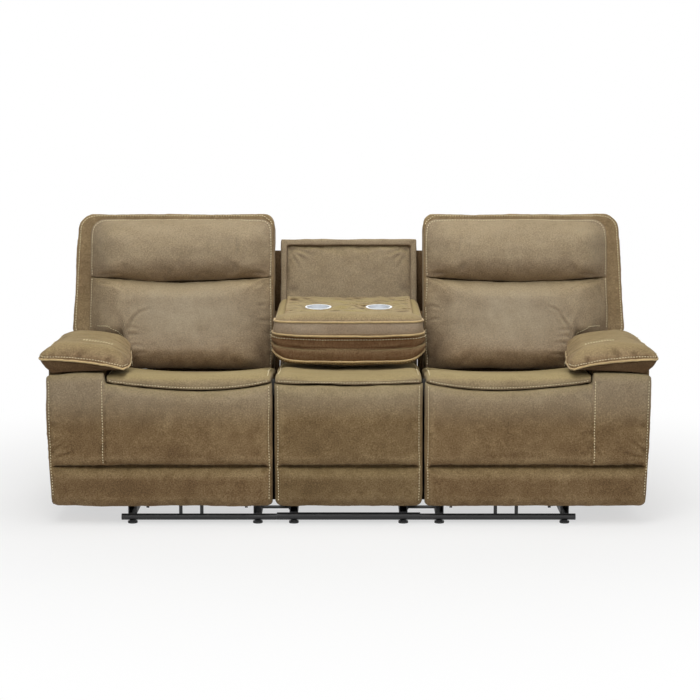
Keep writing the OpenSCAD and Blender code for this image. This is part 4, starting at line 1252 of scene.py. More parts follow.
class SOFA_OT_arm_pillows(bpy.types.Operator):
    """The pillow on each arm, with its welt and double row of stitches"""

    bl_idname = "sofa.arm_pillows"
    bl_label = "Arm pillows"

    def execute(self, context):
        make_materials(context.scene)
        skin = pillow_skin()
        for side, word, seed in ((1, "right", 201), (-1, "left", 231)):
            welt = welt_path()
            above = welt_path(lift=11.0, inward=2.0)[12:]
            cross = [np.array([(x, y, 640.0) for x in np.linspace(815, 925, 12)])
                     for y in (-342.0, -328.0)]

            def relief(points, tree, seed=seed, welt=welt, cross=cross):
                height = ripples(points, seed, (1.5, 70), (0.7, 26))
                height += gather(points, welt[12:38], 34, 30, 3.0, seed + 2)
                height += gather(points, welt[:13], 22, 40, 1.6, seed + 3)
                height += gather(points, welt[37:], 22, 40, 1.6, seed + 4)
                for path in cross:
                    laid, _ = onto(tree, path)
                    height += groove(points, laid, 3, 1.6)
                return height * ease((points[:, 2] - PILLOW_LOW[2] + 1) / 3)

            def on_boxing(points):
                share = (points[:, 0] - PILLOW_LOW[0]) / (PILLOW_HIGH[0] - PILLOW_LOW[0])
                return points[:, 2] < welt_height(share) - 1

            # Painted shade on the boxing under the welt, and painted top light on the top
            def top_light_tint(points, normals):
                return np.where(on_boxing(points), -0.1, painted_top_light(normals) - 0.32)

            def painted_light(points):
                return np.where(on_boxing(points), -0.8, 0.1)

            sew(f"{word}_arm_pad", skin, side, "frame", relief, top_light_tint=top_light_tint,
                painted_light=painted_light, seams=[above, *cross], pipes=[(welt, 0.95)])
        return {"FINISHED"}


# Arm covers

ARM_CORNER = 60.0


def arm_outline(inset):
    """Outline of the arm's outer side across Y and Z, with its rear top corner rounded."""
    y0, y1 = ARM_LOW[1] + inset, ARM_HIGH[1] - inset
    z0, z1 = ARM_LOW[2] + inset, ARM_HIGH[2] - inset
    radius = ARM_CORNER - inset
    corner = arc((y1 - radius, z1 - radius), radius, QUARTER, 0, 10)
    return [(y0, z0), (y0, z1), *corner, (y1, z0)]


class SOFA_OT_arm_covers(bpy.types.Operator):
    """The cloth over each arm box: a padded outer side and plain skins on the others"""

    bl_idname = "sofa.arm_covers"
    bl_label = "Arm covers"

    def execute(self, context):
        make_materials(context.scene)
        side_x = ARM_HIGH[0] - 11
        skin = self.outer_side(side_x)
        plain = self.plain_sides(side_x)
        plate_low, plate_high = span("right_switch_plate")
        for side, word, seed in ((1, "right", 301), (-1, "left", 331)):
            edge = np.array([(side_x + 4, y, z) for y, z in arm_outline(9.0)[1:-1]])

            def relief(points, tree, seed=seed, edge=edge):
                outer = ease((points[:, 0] - side_x - 3) / 4)
                clear = 1.0
                for axis in (1, 2):
                    middle = 0.5 * (plate_low[axis] + plate_high[axis])
                    half = 0.5 * (plate_high[axis] - plate_low[axis])
                    clear = clear * (1 - ease((np.abs(points[:, axis] - middle) - half - 4) / 24))
                height = ripples(points, seed, (1.3, 110), (0.6, 40)) - 1.4
                height += gather(points, edge, 24, 50, 1.4, seed + 2) + groove(points, edge, 3, 1.2)
                return outer * height * (1 - clear)

            # The outer side gets painted top light, shifted a little lighter
            sew(f"{word}_arm_cover", skin, side, "frame", relief, top_light_tint=shifted_top_light(0.1),
                seams=[edge], extras=[(*plain, "suede", 0.0, 0.0, 0.0)])
        return {"FINISHED"}

    def outer_side(self, side_x):
        """Padded outer side, fullest in its middle."""
        y0, y1 = ARM_LOW[1], ARM_HIGH[1]
        columns = y0 + crowd(y1 - y0, 15)
        corner = np.clip(ARM_CORNER - (y1 - columns), 0, None)
        round_top = np.sqrt(np.clip(ARM_CORNER ** 2 - corner ** 2, 0, None))
        highs = ARM_HIGH[2] - ARM_CORNER + round_top
        lows = 0 * columns + ARM_LOW[2]
        heights = between(lows, highs, crowd(480, 15))

        def depth(along, up, low, high):
            side = np.minimum(along - y0, y1 - along)
            foot = 0.2 + 0.8 * ease((up - low) / 140)
            return 11 * foot * (0.3 + 0.7 * roll(side, 9)) * (0.3 + 0.7 * roll(high - up, 9))

        points, faces, _ = pad(columns, heights, depth)
        points = np.stack([side_x + points[:, 1], points[:, 0], points[:, 2]], 1)
        return refine(points, outward(points, faces))

    def plain_sides(self, side_x):
        """Skins on the arm's inner side, front, top and rear."""
        thick = 4.0
        x0 = ARM_LOW[0]
        y0, y1 = ARM_LOW[1], ARM_HIGH[1]
        z0, z1 = ARM_LOW[2], ARM_HIGH[2]
        top_y, dip_y, dip_z = 150.0, 290.0, 375.0
        inner = [(y0, z0), (y0, z1), (top_y, z1), (dip_y, dip_z), (y1, dip_z), (y1, z0)]
        ridge = [(y0, z1 - thick), (y0, z1), (top_y, z1), (dip_y, dip_z), (y1, dip_z),
                 (y1, dip_z - thick), (dip_y - 2, dip_z - thick), (top_y - 2, z1 - thick)]
        front = [(y0, z0), (y0, z1 - 1), (y0 + thick, z1 - 1), (y0 + thick, z0)]
        rear = [(y1 - thick, z0), (y1 - thick, dip_z - 1), (y1, dip_z - 1), (y1, z0)]
        skins = [prism(inner, x0, x0 + thick, 0)]
        for outline in (ridge, front, rear):
            skins.append(prism(outline, x0 + 0.5, side_x + 0.5, 0))
        return merged(*[bevelled(*skin, 1.4) for skin in skins])


# Backs

def lean(points):
    """Places on a back, measured from its pivot, as places in the room."""
    points = np.asarray(points, float)
    y = PIVOT[1] + points[:, 1] * math.cos(BACK_LEAN) + points[:, 2] * math.sin(BACK_LEAN)
    z = PIVOT[2] - points[:, 1] * math.sin(BACK_LEAN) + points[:, 2] * math.cos(BACK_LEAN)
    return np.stack([points[:, 0], y, z], 1)


def proud(points):
    """1 on the padded side of a back's cushion, falling to 0 where it lies on the back."""
    foot = lean([(0, -BACK_FACE - 2, 0)])[0]
    outward_way = np.array([0, -math.cos(BACK_LEAN), math.sin(BACK_LEAN)])
    return ease(((points - foot) @ outward_way - 1) / 6)


def cushion_crease(x):
    """Height of the crease between the lumbar and head cushions, above the pivot."""
    x0, x1 = CUSHION_INNER, CUSHION_OUTER
    return 350.5 + 22.5 * ((2 * x - x0 - x1) / (x1 - x0)) ** 2


def lumbar_low(x):
    """Lower edge of the lumbar cushion, which climbs over the arm pillow."""
    over = np.clip((x - ARM_LOW[0]) / (CUSHION_OUTER - ARM_LOW[0]), 0, 1)
    return 22 + 116 * ease((x - ARM_LOW[0] + 15) / 15) + 14 * over ** 5


def back_pad_skin(lows, highs, low_edge, high_edge, corner, thick, belly=0):
    """Back cushion between two edges, settled and refined.

    An edge is (share of the thickness at the edge, flange, width of its rise). corner rounds
    the top.
    """
    x0, x1 = CUSHION_INNER, CUSHION_OUTER
    columns = x0 + crowd(x1 - x0, 11.5, first=2.0)
    reach = np.minimum(columns - x0, x1 - columns)
    radius = np.where(columns - x0 < x1 - columns, corner[0], corner[1])
    dip = np.clip(radius - reach, 0, None)
    top = highs(columns) - radius + np.sqrt(np.clip(radius ** 2 - dip ** 2, 0, None))
    bottom = lows(columns)
    heights = between(bottom, np.maximum(top, bottom + 24), crowd(290, 11.5, first=2.0))

    def depth(along, up, low, high):
        side = np.minimum(along - x0, x1 - along)
        edge = 0.05 + 0.95 * rise(side, 9, 104)
        below = low_edge[0] + (1 - low_edge[0]) * rise(up - low, *low_edge[1:])
        above = high_edge[0] + (1 - high_edge[0]) * rise(high - up, *high_edge[1:])
        middle = np.sin(math.pi * np.clip((along - x0) / (x1 - x0), 0, 1)) ** 0.5
        full = thick + belly * middle * np.exp(-((up - 62) / 60) ** 2)
        return 0.3 + (full - 0.3) * edge * below * above

    points, faces, hold = pad(columns, heights, depth)
    points = np.stack([points[:, 0], -BACK_FACE - 0.4 - points[:, 1], points[:, 2]], 1)
    points = lean(points)
    faces = outward(points, faces)
    points = settle(points, faces, hold, 9.0, pressure=3.0, slack=0.004)
    return refine(points, faces)


class SOFA_OT_back_cushions(bpy.types.Operator):
    """The lumbar and head cushions of both end seats"""

    bl_idname = "sofa.back_cushions"
    bl_label = "Back cushions"

    def execute(self, context):
        make_materials(context.scene)
        top = BACK_TOP - BORDER_TOP
        lumbar = back_pad_skin(lumbar_low, lambda x: cushion_crease(x) - 2, (0.62, 0, 44),
                               (0.36, 1, 42), (4, 4), 84, belly=14)
        head = back_pad_skin(lambda x: cushion_crease(x) + 2, lambda x: top + 0 * x,
                             (0.42, 1, 44), (0.05, 9, 86), (40, 52), 84)
        for side, word, seed in ((1, "right", 401), (-1, "left", 431)):
            self.lumbar(lumbar, side, word, seed)
            self.head(head, side, word, seed + 50)
        return {"FINISHED"}

    def lumbar(self, skin, side, word, seed):
        """Lumbar cushion, with the folds that run in from the arm and from the crease's ends."""
        x0, x1 = CUSHION_INNER, CUSHION_OUTER
        left = self.edge(x0 + 6, 40, 366)
        right = self.edge(x1 - 6, 180, 368)
        # The stitches above the arm pillow run in a quarter round from its top to the seat
        turn = ARM_LOW[0] + 52
        over = [(x, -BACK_FACE - 60, 180) for x in np.linspace(x1 - 12, turn + 6, 6)]
        over += [(turn - 90 * math.sin(a), -BACK_FACE - 60, 34 + 146 * math.cos(a))
                 for a in np.linspace(0, QUARTER, 14)]
        arm_row = lean(over)
        far = 1 if side > 0 else -1
        # Folds across X and Z in the room, the main one from the arm's end upwards
        drawn = [[(824, 592), (808, 628), (778, 670)], [(790, 664), (772, 682), (736, 694)],
                 [(846, 600), (806, 612), (776, 606)], [(822, 556), (790, 566), (764, 562)],
                 [(842, 575), (806, 588), (770, 586)],
                 [(930, 782), (870, 776), (820, 752)], [(925, 800), (880, 796)],
                 [(310, 786), (345, 776), (372, 752)], [(306, 690), (340, 686)],
                 [(306, 640), (336, 646)], [(800, 520), (745, 524)]]

        def relief(points, tree):
            height = ripples(points, seed, (2.2, 150), (1.1, 60), (0.5, 24))
            for k, path in enumerate(drawn):
                shift = 0 if far > 0 else 10 * math.sin(3.1 * k + 1)
                path = [(x, z + shift) for x, z in path]
                height += drawn_fold(points, tree, path, 4.4, 7.5 if k == 0 else 3.2)
            height += gather(points, left, 34, 44, 1.7, seed + 3)
            height += gather(points, arm_row, 30, 36, 1.8, seed + 4)
            crease = lean([(x, -BACK_FACE - 30, cushion_crease(x)) for x in (x0, x1)])
            height += gather(points, crease, 26, 90, 0.6, seed + 5)
            height += groove(points, left, 3, 1.5) + groove(points, arm_row, 3, 1.5)
            return height * proud(points)

        # Painted top light, with the lower part painted browner towards the cushion's foot
        def top_light_tint(points, normals):
            low = ease((640 - points[:, 2]) / 150)
            return painted_top_light(normals) * 0.5 - 0.25 * low

        # Painted highlight, strongest on the cushion's upper middle and weaker towards its edges
        def painted_light(points):
            place = (points - (0.5 * (x0 + x1) - 20, 100, 668)) / (250, 400, 115)
            return 1.0 - 0.72 * ease(0.5 * np.linalg.norm(place, axis=1))

        # A strip of lining hangs from the cushion's foot beside the arm
        # It closes a gap that would show the background, and its dark cloth stands in for the shade
        # there
        strip_points, strip_faces = prism(
            rectangle(NECK_OUTER - 30, ARM_LOW[0] - 5, 26, -24), -BACK_FACE - 5, -BACK_FACE - 1, 1)
        extras = [(lean(strip_points), strip_faces, "lining", 0.0, 0.0, 0.0)]
        sew(f"{word}_lumbar_cushion", skin, side, f"{word}_back", relief, top_light_tint=top_light_tint,
            painted_light=painted_light, seams=[left, right, arm_row], extras=extras)

    def head(self, skin, side, word, seed):
        """Head cushion, stitched round its top and sides."""
        x0, x1 = CUSHION_INNER, CUSHION_OUTER
        top = BACK_TOP - BORDER_TOP
        rounds = [(x0 + 6, z) for z in np.linspace(378, top - 40, 10)]
        rounds += arc((x0 + 40, top - 40), 34, math.pi - 0.2, math.pi - 1.4, 5)
        rounds += [(x, top - 6) for x in np.linspace(x0 + 46, x1 - 58, 20)]
        rounds += arc((x1 - 52, top - 52), 46, QUARTER - 0.1, QUARTER - 1.5, 6)
        rounds += [(x1 - 6, z) for z in np.linspace(top - 60, 380, 8)]
        border = lean([(x, -BACK_FACE - 6, z) for x, z in rounds])

        def relief(points, tree):
            height = ripples(points, seed, (2.0, 140), (1.0, 55), (0.5, 24))
            height += gather(points, border, 24, 46, 1.2, seed + 3) + groove(points, border, 3, 1.4)
            for k, path in enumerate(([(930, 800), (885, 812), (850, 812)],
                                      [(306, 800), (340, 812), (368, 812)],
                                      [(420, 955), (412, 905), (424, 868)])):
                height += drawn_fold(points, tree, path, 6, 2.6 - 0.5 * k)
            return height * proud(points)

        # Painted top light, with the lower and top parts painted browner
        def top_light_tint(points, normals):
            low = ease((880 - points[:, 2]) / 90)
            high = ease((points[:, 2] - 900) / 90)
            return painted_top_light(normals) * 0.5 - 0.2 * low - 0.16 * high + 0.05

        # Painted highlight all over, a little weaker towards the lower part
        def painted_light(points):
            return 0.58 - 0.14 * ease((940 - points[:, 2]) / 160)

        sew(f"{word}_head_cushion", skin, side, f"{word}_back", relief, top_light_tint=top_light_tint,
            painted_light=painted_light, seams=[border])

    def edge(self, x, low, high):
        """Path up a cushion's side."""
        return lean([(x, -BACK_FACE - 5, z) for z in np.linspace(low, high, 16)])


def border_flare(y, z):
    """How far a back's border stands out past its wing: only in front, where it clears the arm."""
    share = np.clip((BACK_TOP - OUTER_CORNER - z) / (BACK_TOP - OUTER_CORNER - 185), 0, 1)
    return BORDER_FLARE * share * ease((z - 150) / 30) * (1 - ease((y + 30) / 30))


def wing_edge(y, z):
    """Outer edge of a back's wing, which flares towards the arm."""
    share = np.clip((BACK_TOP - OUTER_CORNER - z) / (BACK_TOP - OUTER_CORNER - WING_LOW), 0, 1)
    return BACK_OUTER + WING_FLARE * share + border_flare(y, z)


def back_outline(inset, low):
    """Outline of a back across X and Z: a neck between the arms, a wing that flares over the arm
    and two rounded top corners."""
    x0, x1 = BACK_INNER + inset, BACK_OUTER - inset
    top = BACK_TOP - inset
    big, small = OUTER_CORNER - inset, INNER_CORNER - inset
    corners = arc((x1 - big, top - big), big, 0, QUARTER, 10)
    corners += arc((x0 + small, top - small), small, QUARTER, math.pi, 6)
    return [(x0, low), (NECK_OUTER - inset, low), (NECK_OUTER - inset, WING_LOW + inset),
            (x1 + WING_FLARE, WING_LOW + inset), *corners]


class SOFA_OT_back_covers(bpy.types.Operator):
    """The cloth over each end seat's back: border, sides and rear"""

    bl_idname = "sofa.back_covers"
    bl_label = "Back covers"

    def execute(self, context):
        make_materials(context.scene)
        upper = prism(back_outline(1.0, 50), -BACK_FACE + 1, BACK_REAR - 1, 1)
        foot = rectangle(BACK_INNER + 1, NECK_OUTER - 1, BACK_FOOT, 54)
        lower = prism(foot, 61, BACK_REAR - 1, 1)
        points, faces = remesh(*merged(upper, lower), 6.5, 6)
        outer = ease((points[:, 0] - 940) / 60)
        points[:, 0] += outer * border_flare(points[:, 1], points[:, 2])
        skin = lean(points), faces
        for side, word, seed in ((1, "right", 501), (-1, "left", 531)):
            self.cover(skin, side, word, seed)
        return {"FINISHED"}

    def cover(self, skin, side, word, seed):
        """One back's cover, with a stitched border and corded rear edges."""
        x0, x1 = BACK_INNER, BACK_OUTER
        front, rear = -BACK_FACE - 2, BACK_REAR + 2
        around = [(wing_edge(front, z) - 11, z)
                  for z in np.linspace(WING_LOW + 30, BACK_TOP - 66, 16)]
        around += arc((x1 - OUTER_CORNER, BACK_TOP - OUTER_CORNER), 51, 0.1, QUARTER, 8)
        around += [(x, BACK_TOP - 9) for x in np.linspace(x1 - 74, x0 + 40, 30)]
        around += [(x0 + 8, z) for z in np.linspace(BACK_TOP - 34, BACK_TOP - 44, 3)]
        border = lean([(x, front, z) for x, z in around])
        mitre = lean([(x1 - 20, front, BACK_TOP - 20), (x1 - 66, front, BACK_TOP - 60)])
        corded = lean([(x, rear, z) for x, z in back_outline(5.0, -140)[2:]])
        panel_row = lean([(x, rear, z) for x, z in back_outline(16.0, -130)[2:]])
        side_seam = lean([(wing_edge(55, z) + 2, 55, z)
                          for z in np.linspace(WING_LOW + 8, BACK_TOP - 70, 12)])

        def relief(points, tree):
            height = ripples(points, seed, (1.2, 120), (0.6, 42))
            height += groove(points, border, 3, 1.4) + groove(points, mitre, 3, 2.2)
            height += groove(points, side_seam, 3, 1.8) + groove(points, panel_row, 3, 1.4)
            height += gather(points, border, 22, 60, 1.1, seed + 2)
            height += gather(points, panel_row, 30, 70, 1.4, seed + 3)
            return height

        # Two flaps close the gap to the centre back: one beside it, and one behind its upper part
        flaps = []
        for reach, start, low, high, sewn in ((18, 118, -140, FLAP_STEP, 4),
                                              (42, rear + 2, FLAP_STEP - 6, FLAP_TOP, 18)):
            outline = rectangle(x0 - reach, x0 + sewn, low, high)
            flaps.append(prism(outline, start, start + 3, 1))
        flap_points, flap_faces = merged(*flaps)
        # The flaps' cloth is painted darker, as the shade in the gap between the backs
        extras = [(lean(flap_points), flap_faces, "suede", 0.0, -0.4, -0.4)]
        # The cover gets painted top light and a slight painted highlight all over
        sew(f"{word}_back_cover", skin, side, f"{word}_back", relief, top_light_tint=shifted_top_light(-0.02),
            painted_light=even(0.12), seams=[border, panel_row], pipes=[(corded, 0.9)],
            extras=extras)


# Centre back

CENTRE_HALF = BACK_INNER - 19
CENTRE_TOP = 541.0
CENTRE_BORDER = 24.0
CENTRE_FACE = 102.0
POST_HALF = 15.0


class SOFA_OT_centre_back(bpy.types.Operator):
    """The frame behind the folding table, its cloth recess and its two posts"""

    bl_idname = "sofa.centre_back"
    bl_label = "Centre back"

    def execute(self, context):
        make_materials(context.scene)
        self.border()
        self.recess()
        return {"FINISHED"}

    def border(self):
        """Cloth-covered frame on two posts."""
        half, top, border = CENTRE_HALF, CENTRE_TOP, CENTRE_BORDER
        front, rear = CENTRE_FACE, BACK_REAR
        board = prism(rectangle(-half + 1, half - 1, BACK_FOOT, top - 1), front + 25, rear - 1, 1)
        sides = [prism(outline, front + 1, front + 30, 1) for outline in (
            rectangle(-half + 1, -half + border, 1, top - 1),
            rectangle(half - border, half - 1, 1, top - 1),
            rectangle(-half + 1, half - 1, top - border, top - 1))]
        points, faces = remesh(*merged(board, *sides), 5.5, 3)
        skin = lean(points), faces
        mitres = [lean([(k * (half - border), front, top - border), (k * half, front, top)])
                  for k in (-1, 1)]
        rear_row = lean([(-half + 14, rear + 2, -130), (-half + 14, rear + 2, top - 14),
                         (half - 14, rear + 2, top - 14), (half - 14, rear + 2, -130)])

        # Painted highlight on the border's front, fading out on the sides behind it; the border also
        # gets painted top light
        def painted_light(points):
            behind = (points[:, 1] - PIVOT[1]) * math.cos(BACK_LEAN)
            behind = behind - (points[:, 2] - PIVOT[2]) * math.sin(BACK_LEAN)
            return 0.6 * (1 - ease((behind - front - 24) / 12))

        def relief(points, tree):
            height = ripples(points, 601, (0.9, 90), (0.5, 34))
            for path in mitres:
                height += groove(points, path, 3, 2)
            height += groove(points, rear_row, 3, 1.4) + gather(points, rear_row, 26, 60, 1.2, 603)
            return height

        post_x = CENTRE_HIGH[0] - 62
        posts = [rectangle(x - POST_HALF, x + POST_HALF, 65.5, 320) for x in (-post_x, post_x)]
        posts = [bevelled(*prism(outline, 250, 296, 1), 2) for outline in posts]
        sew("centre_back_frame", skin, 1, "frame", relief, top_light_tint=shifted_top_light(-0.06),
            painted_light=painted_light, seams=[rear_row],
            extras=[(*merged(*posts), "lining", 0.0, 0.0, 0.0)])

    def recess(self):
        """Slack cloth over the recess, drawn into folds at its corners."""
        front = CENTRE_FACE
        x1 = CENTRE_HALF - CENTRE_BORDER - 2
        z1 = CENTRE_TOP - CENTRE_BORDER - 2
        columns = -x1 + crowd(2 * x1, 12, first=2.5)
        heights = between(0 * columns + 4, 0 * columns + z1, crowd(z1 - 4, 12, first=2.5))

        def depth(along, up, low, high):
            side = x1 - np.abs(along)
            end = np.minimum(up - low, high - up)
            return 0.5 + 10.5 * (0.35 + 0.65 * roll(side, 26)) * (0.35 + 0.65 * roll(end, 26))

        points, faces, hold = pad(columns, heights, depth)
        points = np.stack([points[:, 0], front + 23.5 - points[:, 1], points[:, 2]], 1)
        points = lean(points)
        faces = outward(points, faces)
        points = settle(points, faces, hold, 6.0, pressure=1.0, slack=0.03)
        skin = refine(points, faces)
        top_row = lean([(-x1 + 8, front + 10, z1 - 10), (x1 - 8, front + 10, z1 - 10)])

        def relief(points, tree):
            height = 1.6 * swell(points * (1, 1, 0.45), 60, 611) + 0.6 * swell(points, 26, 612)
            for k in (-1, 1):
                for reach, drop in ((74, 60), (52, 96), (100, 34)):
                    path = lean([(k * (x1 - 6), front + 14, z1 - 8),
                                 (k * (x1 - reach), front + 12, z1 - drop)])
                    laid, _ = onto(tree, path)
                    height += fold(points, laid, 5, 3.0)
            height += gather(points, top_row, 40, 52, 1.6, 613)
            return height

        # The recess cloth gets painted top light and a painted highlight all over
        sew("centre_back_panel", skin, 1, "frame", relief, top_light_tint=shifted_top_light(0.02),
            painted_light=even(0.55))


# Folding table

TABLE_SLOPE = math.radians(4)
TRAY_TOP = 113.0
TRAY_THICK = 12.0
TRAY_FRONT = -275.0
TRAY_REAR = 69.0
CUP_SPAN = 222.0
CUP_AHEAD = 148.0
CUP_BORE = 44.0
# Middle of the gap for each hinge bracket, to the side of the table's middle
BRACKET_PLACE = 198.0


def on_table(points):
    """Places measured from the table's pivot along its slope, as places in the room."""
    points = np.asarray(points, float)
    y = TABLE_PIVOT[1] + points[:, 1] * math.cos(TABLE_SLOPE) - points[:, 2] * math.sin(TABLE_SLOPE)
    z = TABLE_PIVOT[2] + points[:, 1] * math.sin(TABLE_SLOPE) + points[:, 2] * math.cos(TABLE_SLOPE)
    return np.stack([points[:, 0], y, z], 1)


def rounded_ring(half, y0, y1, front_radius, rear_radius):
    """Rectangle with rounded corners across X and Y, with the same number of points each time."""
    corners = ((half - front_radius, y0 + front_radius, front_radius, -QUARTER),
               (half - rear_radius, y1 - rear_radius, rear_radius, 0),
               (-half + rear_radius, y1 - rear_radius, rear_radius, QUARTER),
               (-half + front_radius, y0 + front_radius, front_radius, math.pi))
    arcs = [arc((x, y), radius, start, start + QUARTER, 7) for x, y, radius, start in corners]
    ring = []
    for k, count in enumerate((34, 34, 34, 44)):
        ring += arcs[k]
        a, b = np.array(arcs[k][-1]), np.array(arcs[(k + 1) % 4][0])
        ring += [tuple(a + (b - a) * t) for t in np.linspace(0, 1, count + 2)[1:-1]]
    return np.array(ring)


def cup_cutters(radius, low, high):
    """Round cutters where the two cup holders go."""
    cutters = []
    for k in (-0.5, 0.5):
        ring = arc((k * CUP_SPAN, -CUP_AHEAD), radius, 0, 2 * math.pi, 49)[:-1]
        points, faces = prism(ring, low, high, 2)
        points = on_table(points)
        cutters.append((points, outward(points, faces)))
    return cutters


class SOFA_OT_table(bpy.types.Operator):
    """The folding table: a cushion with corded seams and a cloth-covered tray"""

    bl_idname = "sofa.table"
    bl_label = "Folding table"

    # Height, half width, front, climb towards the ends, and how far the front hangs in the middle
    LAYERS = ((531, 212, -214, 0, 6), (533, 236, -234, 2, 6), (536, 249, -244, 8, 6),
              (541, 260, -250, 22, 6), (547, 266, -254, 33, 5), (558, 272, -258, 36, 4),
              (571, 274, -260, 31, 3), (582, 273, -257, 22, 3), (589, 269, -250, 15, 4),
              (593, 267, -246, 13, 4), (597, 269, -247, 12, 5), (607, 273, -246, 9, 6),
              (620, 274, -245, 5, 7), (630, 272, -246, 2, 8), (636, 269, -248, 0, 8),
              (640, 267, -250, 0, 8), (648, 267, -253, 0, 7), (664, 266, -253, 0, 4),
              (676, 264, -251, 0, 2), (682, 263, -249, 0, 2))
    REAR = 260.0

    def execute(self, context):
        make_materials(context.scene)
        self.cushion()
        self.tray()
        return {"FINISHED"}

    def top_height(self, x, y):
        """Height of the cushion's top: a roll in front, and the tray's bed behind it."""
        slope = (y - TABLE_PIVOT[1]) * math.tan(TABLE_SLOPE)
        bed = TABLE_PIVOT[2] + TRAY_TOP - TRAY_THICK - 4.5 + slope
        rim = TABLE_PIVOT[2] + TRAY_TOP - 5 + slope
        behind = bed + (rim - bed) * ease((np.abs(x) - 228) / 6)
        front = 711 - 10 * (np.abs(x) / 262) ** 4 - 13 * np.clip((y + 185) / 75, 0, 1) ** 2
        return front + (behind - front) * ease((y + 112) / 8)

    def ring(self, layer):
        """One layer's outline."""
        z, half, front, climb, hang = layer
        drop = np.clip(50 - (z - 529), 0, 50)
        rear = self.REAR - 50 + math.sqrt(2500 - drop ** 2)
        ring = rounded_ring(half, front, rear, 44, 26)
        share = np.abs(ring[:, 0]) / half
        ahead = ease((-120 - ring[:, 1]) / 80)
        up = z + climb * share ** 11 - hang * (1 - share ** 2) * ahead
        bow = 3 * (1 - share ** 2) * (ring[:, 1] < 0)
        return np.stack([ring[:, 0], ring[:, 1] - bow, up], 1)

    def cushion(self):
        """Cushion of stacked outlines, with two bulges, a crease and a boxed roll."""
        rings = []
        for inset in (150, 100, 70, 52, 45, 41, 37, 33, 26, 12):
            flat = rounded_ring(206 - 0.9 * inset, -208 + 0.7 * inset, 206 - 0.7 * inset, 30, 20)
            sunk = 7 * math.exp(-((inset - 39) / 5) ** 2)
            hang = 5 * ease((-120 - flat[:, 1]) / 80) * (1 - (flat[:, 0] / 260) ** 2)
            rings.append(np.stack([flat[:, 0], flat[:, 1], 530.5 + sunk - hang], 1))
        rings += [self.ring(layer) for layer in self.LAYERS]
        half, front = self.LAYERS[-1][1:3]
        for inset in (3, 8, 15, 24, 35, 48, 62, 76, 90, 105, 120, 134, 142, 146, 150, 154, 160,
                      176, 194, 212, 230, 246):
            flat = rounded_ring(half - inset, front - 2 + inset, self.REAR - inset,
                                max(44 - inset, 3), max(26 - inset, 3))
            top = self.top_height(flat[:, 0], flat[:, 1])
            edge = 682 + (top - 682) * roll(inset, 52)
            rings.append(np.stack([flat[:, 0], flat[:, 1], edge], 1))
        lower = self.front_line(4, 30, 0.0)
        upper = self.front_line(15, 44, 0.0)
        top = self.front_line(19, 60, 1.0)
        row = self.front_line(13, 20, -4.0)
        low_row = self.front_line(3, 16, 0.0)
        panel = rounded_ring(178, -187, 185, 30, 20)
        panel_row = np.stack([panel[:, 0], panel[:, 1], 0 * panel[:, 0] + 530], 1)
        crease = self.front_line(9, 40, 0.0)

        def relief(points, tree):
            front = ease((-60 - points[:, 1]) / 60)
            height = front * ripples(points, 701, (1.1, 75), (0.7, 28))
            height += gather(points, lower, 26, 34, 2.4, 703) + gather(points, row, 20, 34, 1.6, 704)
            height += groove(points, crease, 4, 2.5)
            for k, (a, b, sag) in enumerate((
                    ((-250, 604), (-60, 582), 6), ((250, 606), (70, 584), 6),
                    ((-230, 578), (-120, 566), 4), ((235, 580), (120, 568), 4),
                    ((-60, 600), (90, 602), 3))):
                path = [a, ((a[0] + b[0]) / 2, (a[1] + b[1]) / 2 - sag), b]
                height += drawn_fold(points, tree, path, 4.5, 2.4 - 0.2 * k)
            return height

        # Painted light: painted shade below the upper piping and a little on the boxed roll, painted
        # top light on the top behind the front roll
        def top_light_tint(points, normals):
            under = ease((634 - points[:, 2]) / 10) * (1 - ease((-normals[:, 2] - 0.6) / 0.3))
            boxing = ease((points[:, 2] - 634) / 6) * ease((690 - points[:, 2]) / 8)
            roll_tone = 0.3 - 0.42 * ease((-90 - points[:, 1]) / 30)
            return painted_top_light(normals) + roll_tone * (1 - under) - 0.6 * under - 0.3 * boxing

        sewing = bpy.context.scene.sofa_sewing
        points, faces = refine(*loft(rings))
        normals = normals_of(points, faces)
        tree = tree_of(points, faces)
        points = points + normals * (sewing.folds * relief(points, tree))[:, None]
        tree = tree_of(points, faces)
        radius = sewing.piping_radius / MILLIMETRE
        pipes = [piping(tree, lower, radius), piping(tree, upper, radius), piping(tree, top, radius)]
        rows = [stitches(tree, path, sewing) for path in (row, low_row, panel_row)]
        cutters = cup_cutters(CUP_BORE, 40, 200)
        for x in (-BRACKET_PLACE, BRACKET_PLACE):
            outline = rectangle(x - 13, x + 13, TABLE_PIVOT[1] - 48, 320)
            cutters.append(prism(outline, 500, 760, 2))
        points, faces = carve(points, faces, cutters)
        normals = corner_normals(points, faces)
        wear_and_crease_shade = wear_and_crease_shade_of(points, faces, normals)
        # Painted shade below the upper piping, and a painted highlight on the boxed roll
        down = ease((-normals[:, 2] - 0.6) / 0.3)
        under = ease((636 - points[:, 2]) / 10) * (1 - down)
        boxing = ease((points[:, 2] - 636) / 4) * ease((688 - points[:, 2]) / 6)
        painted_light = 0.25 - 0.75 * under + 0.65 * boxing
        parts = [(points, faces, "suede", top_light_tint(points, normals), wear_and_crease_shade, painted_light)]
        parts += [(*pipe, "piping", 0.3, 0.3, 0.0) for pipe in pipes]
        parts += [(*threads, "thread", 0.0, 0.0, 0.0) for threads in rows]
        join_frame(build("table_cushion_cloth", parts), "table", "table_cushion")

    def front_line(self, layer, reach, lift):
        """Path along a layer's front and some way down both of its sides."""
        ring = self.ring(self.LAYERS[layer])
        front = ring[ring[:, 1] < self.LAYERS[layer][2] + 44 + reach]
        order = np.argsort(np.arctan2(front[:, 0], -front[:, 1] - 120))
        return front[order] + (0, 0, lift)

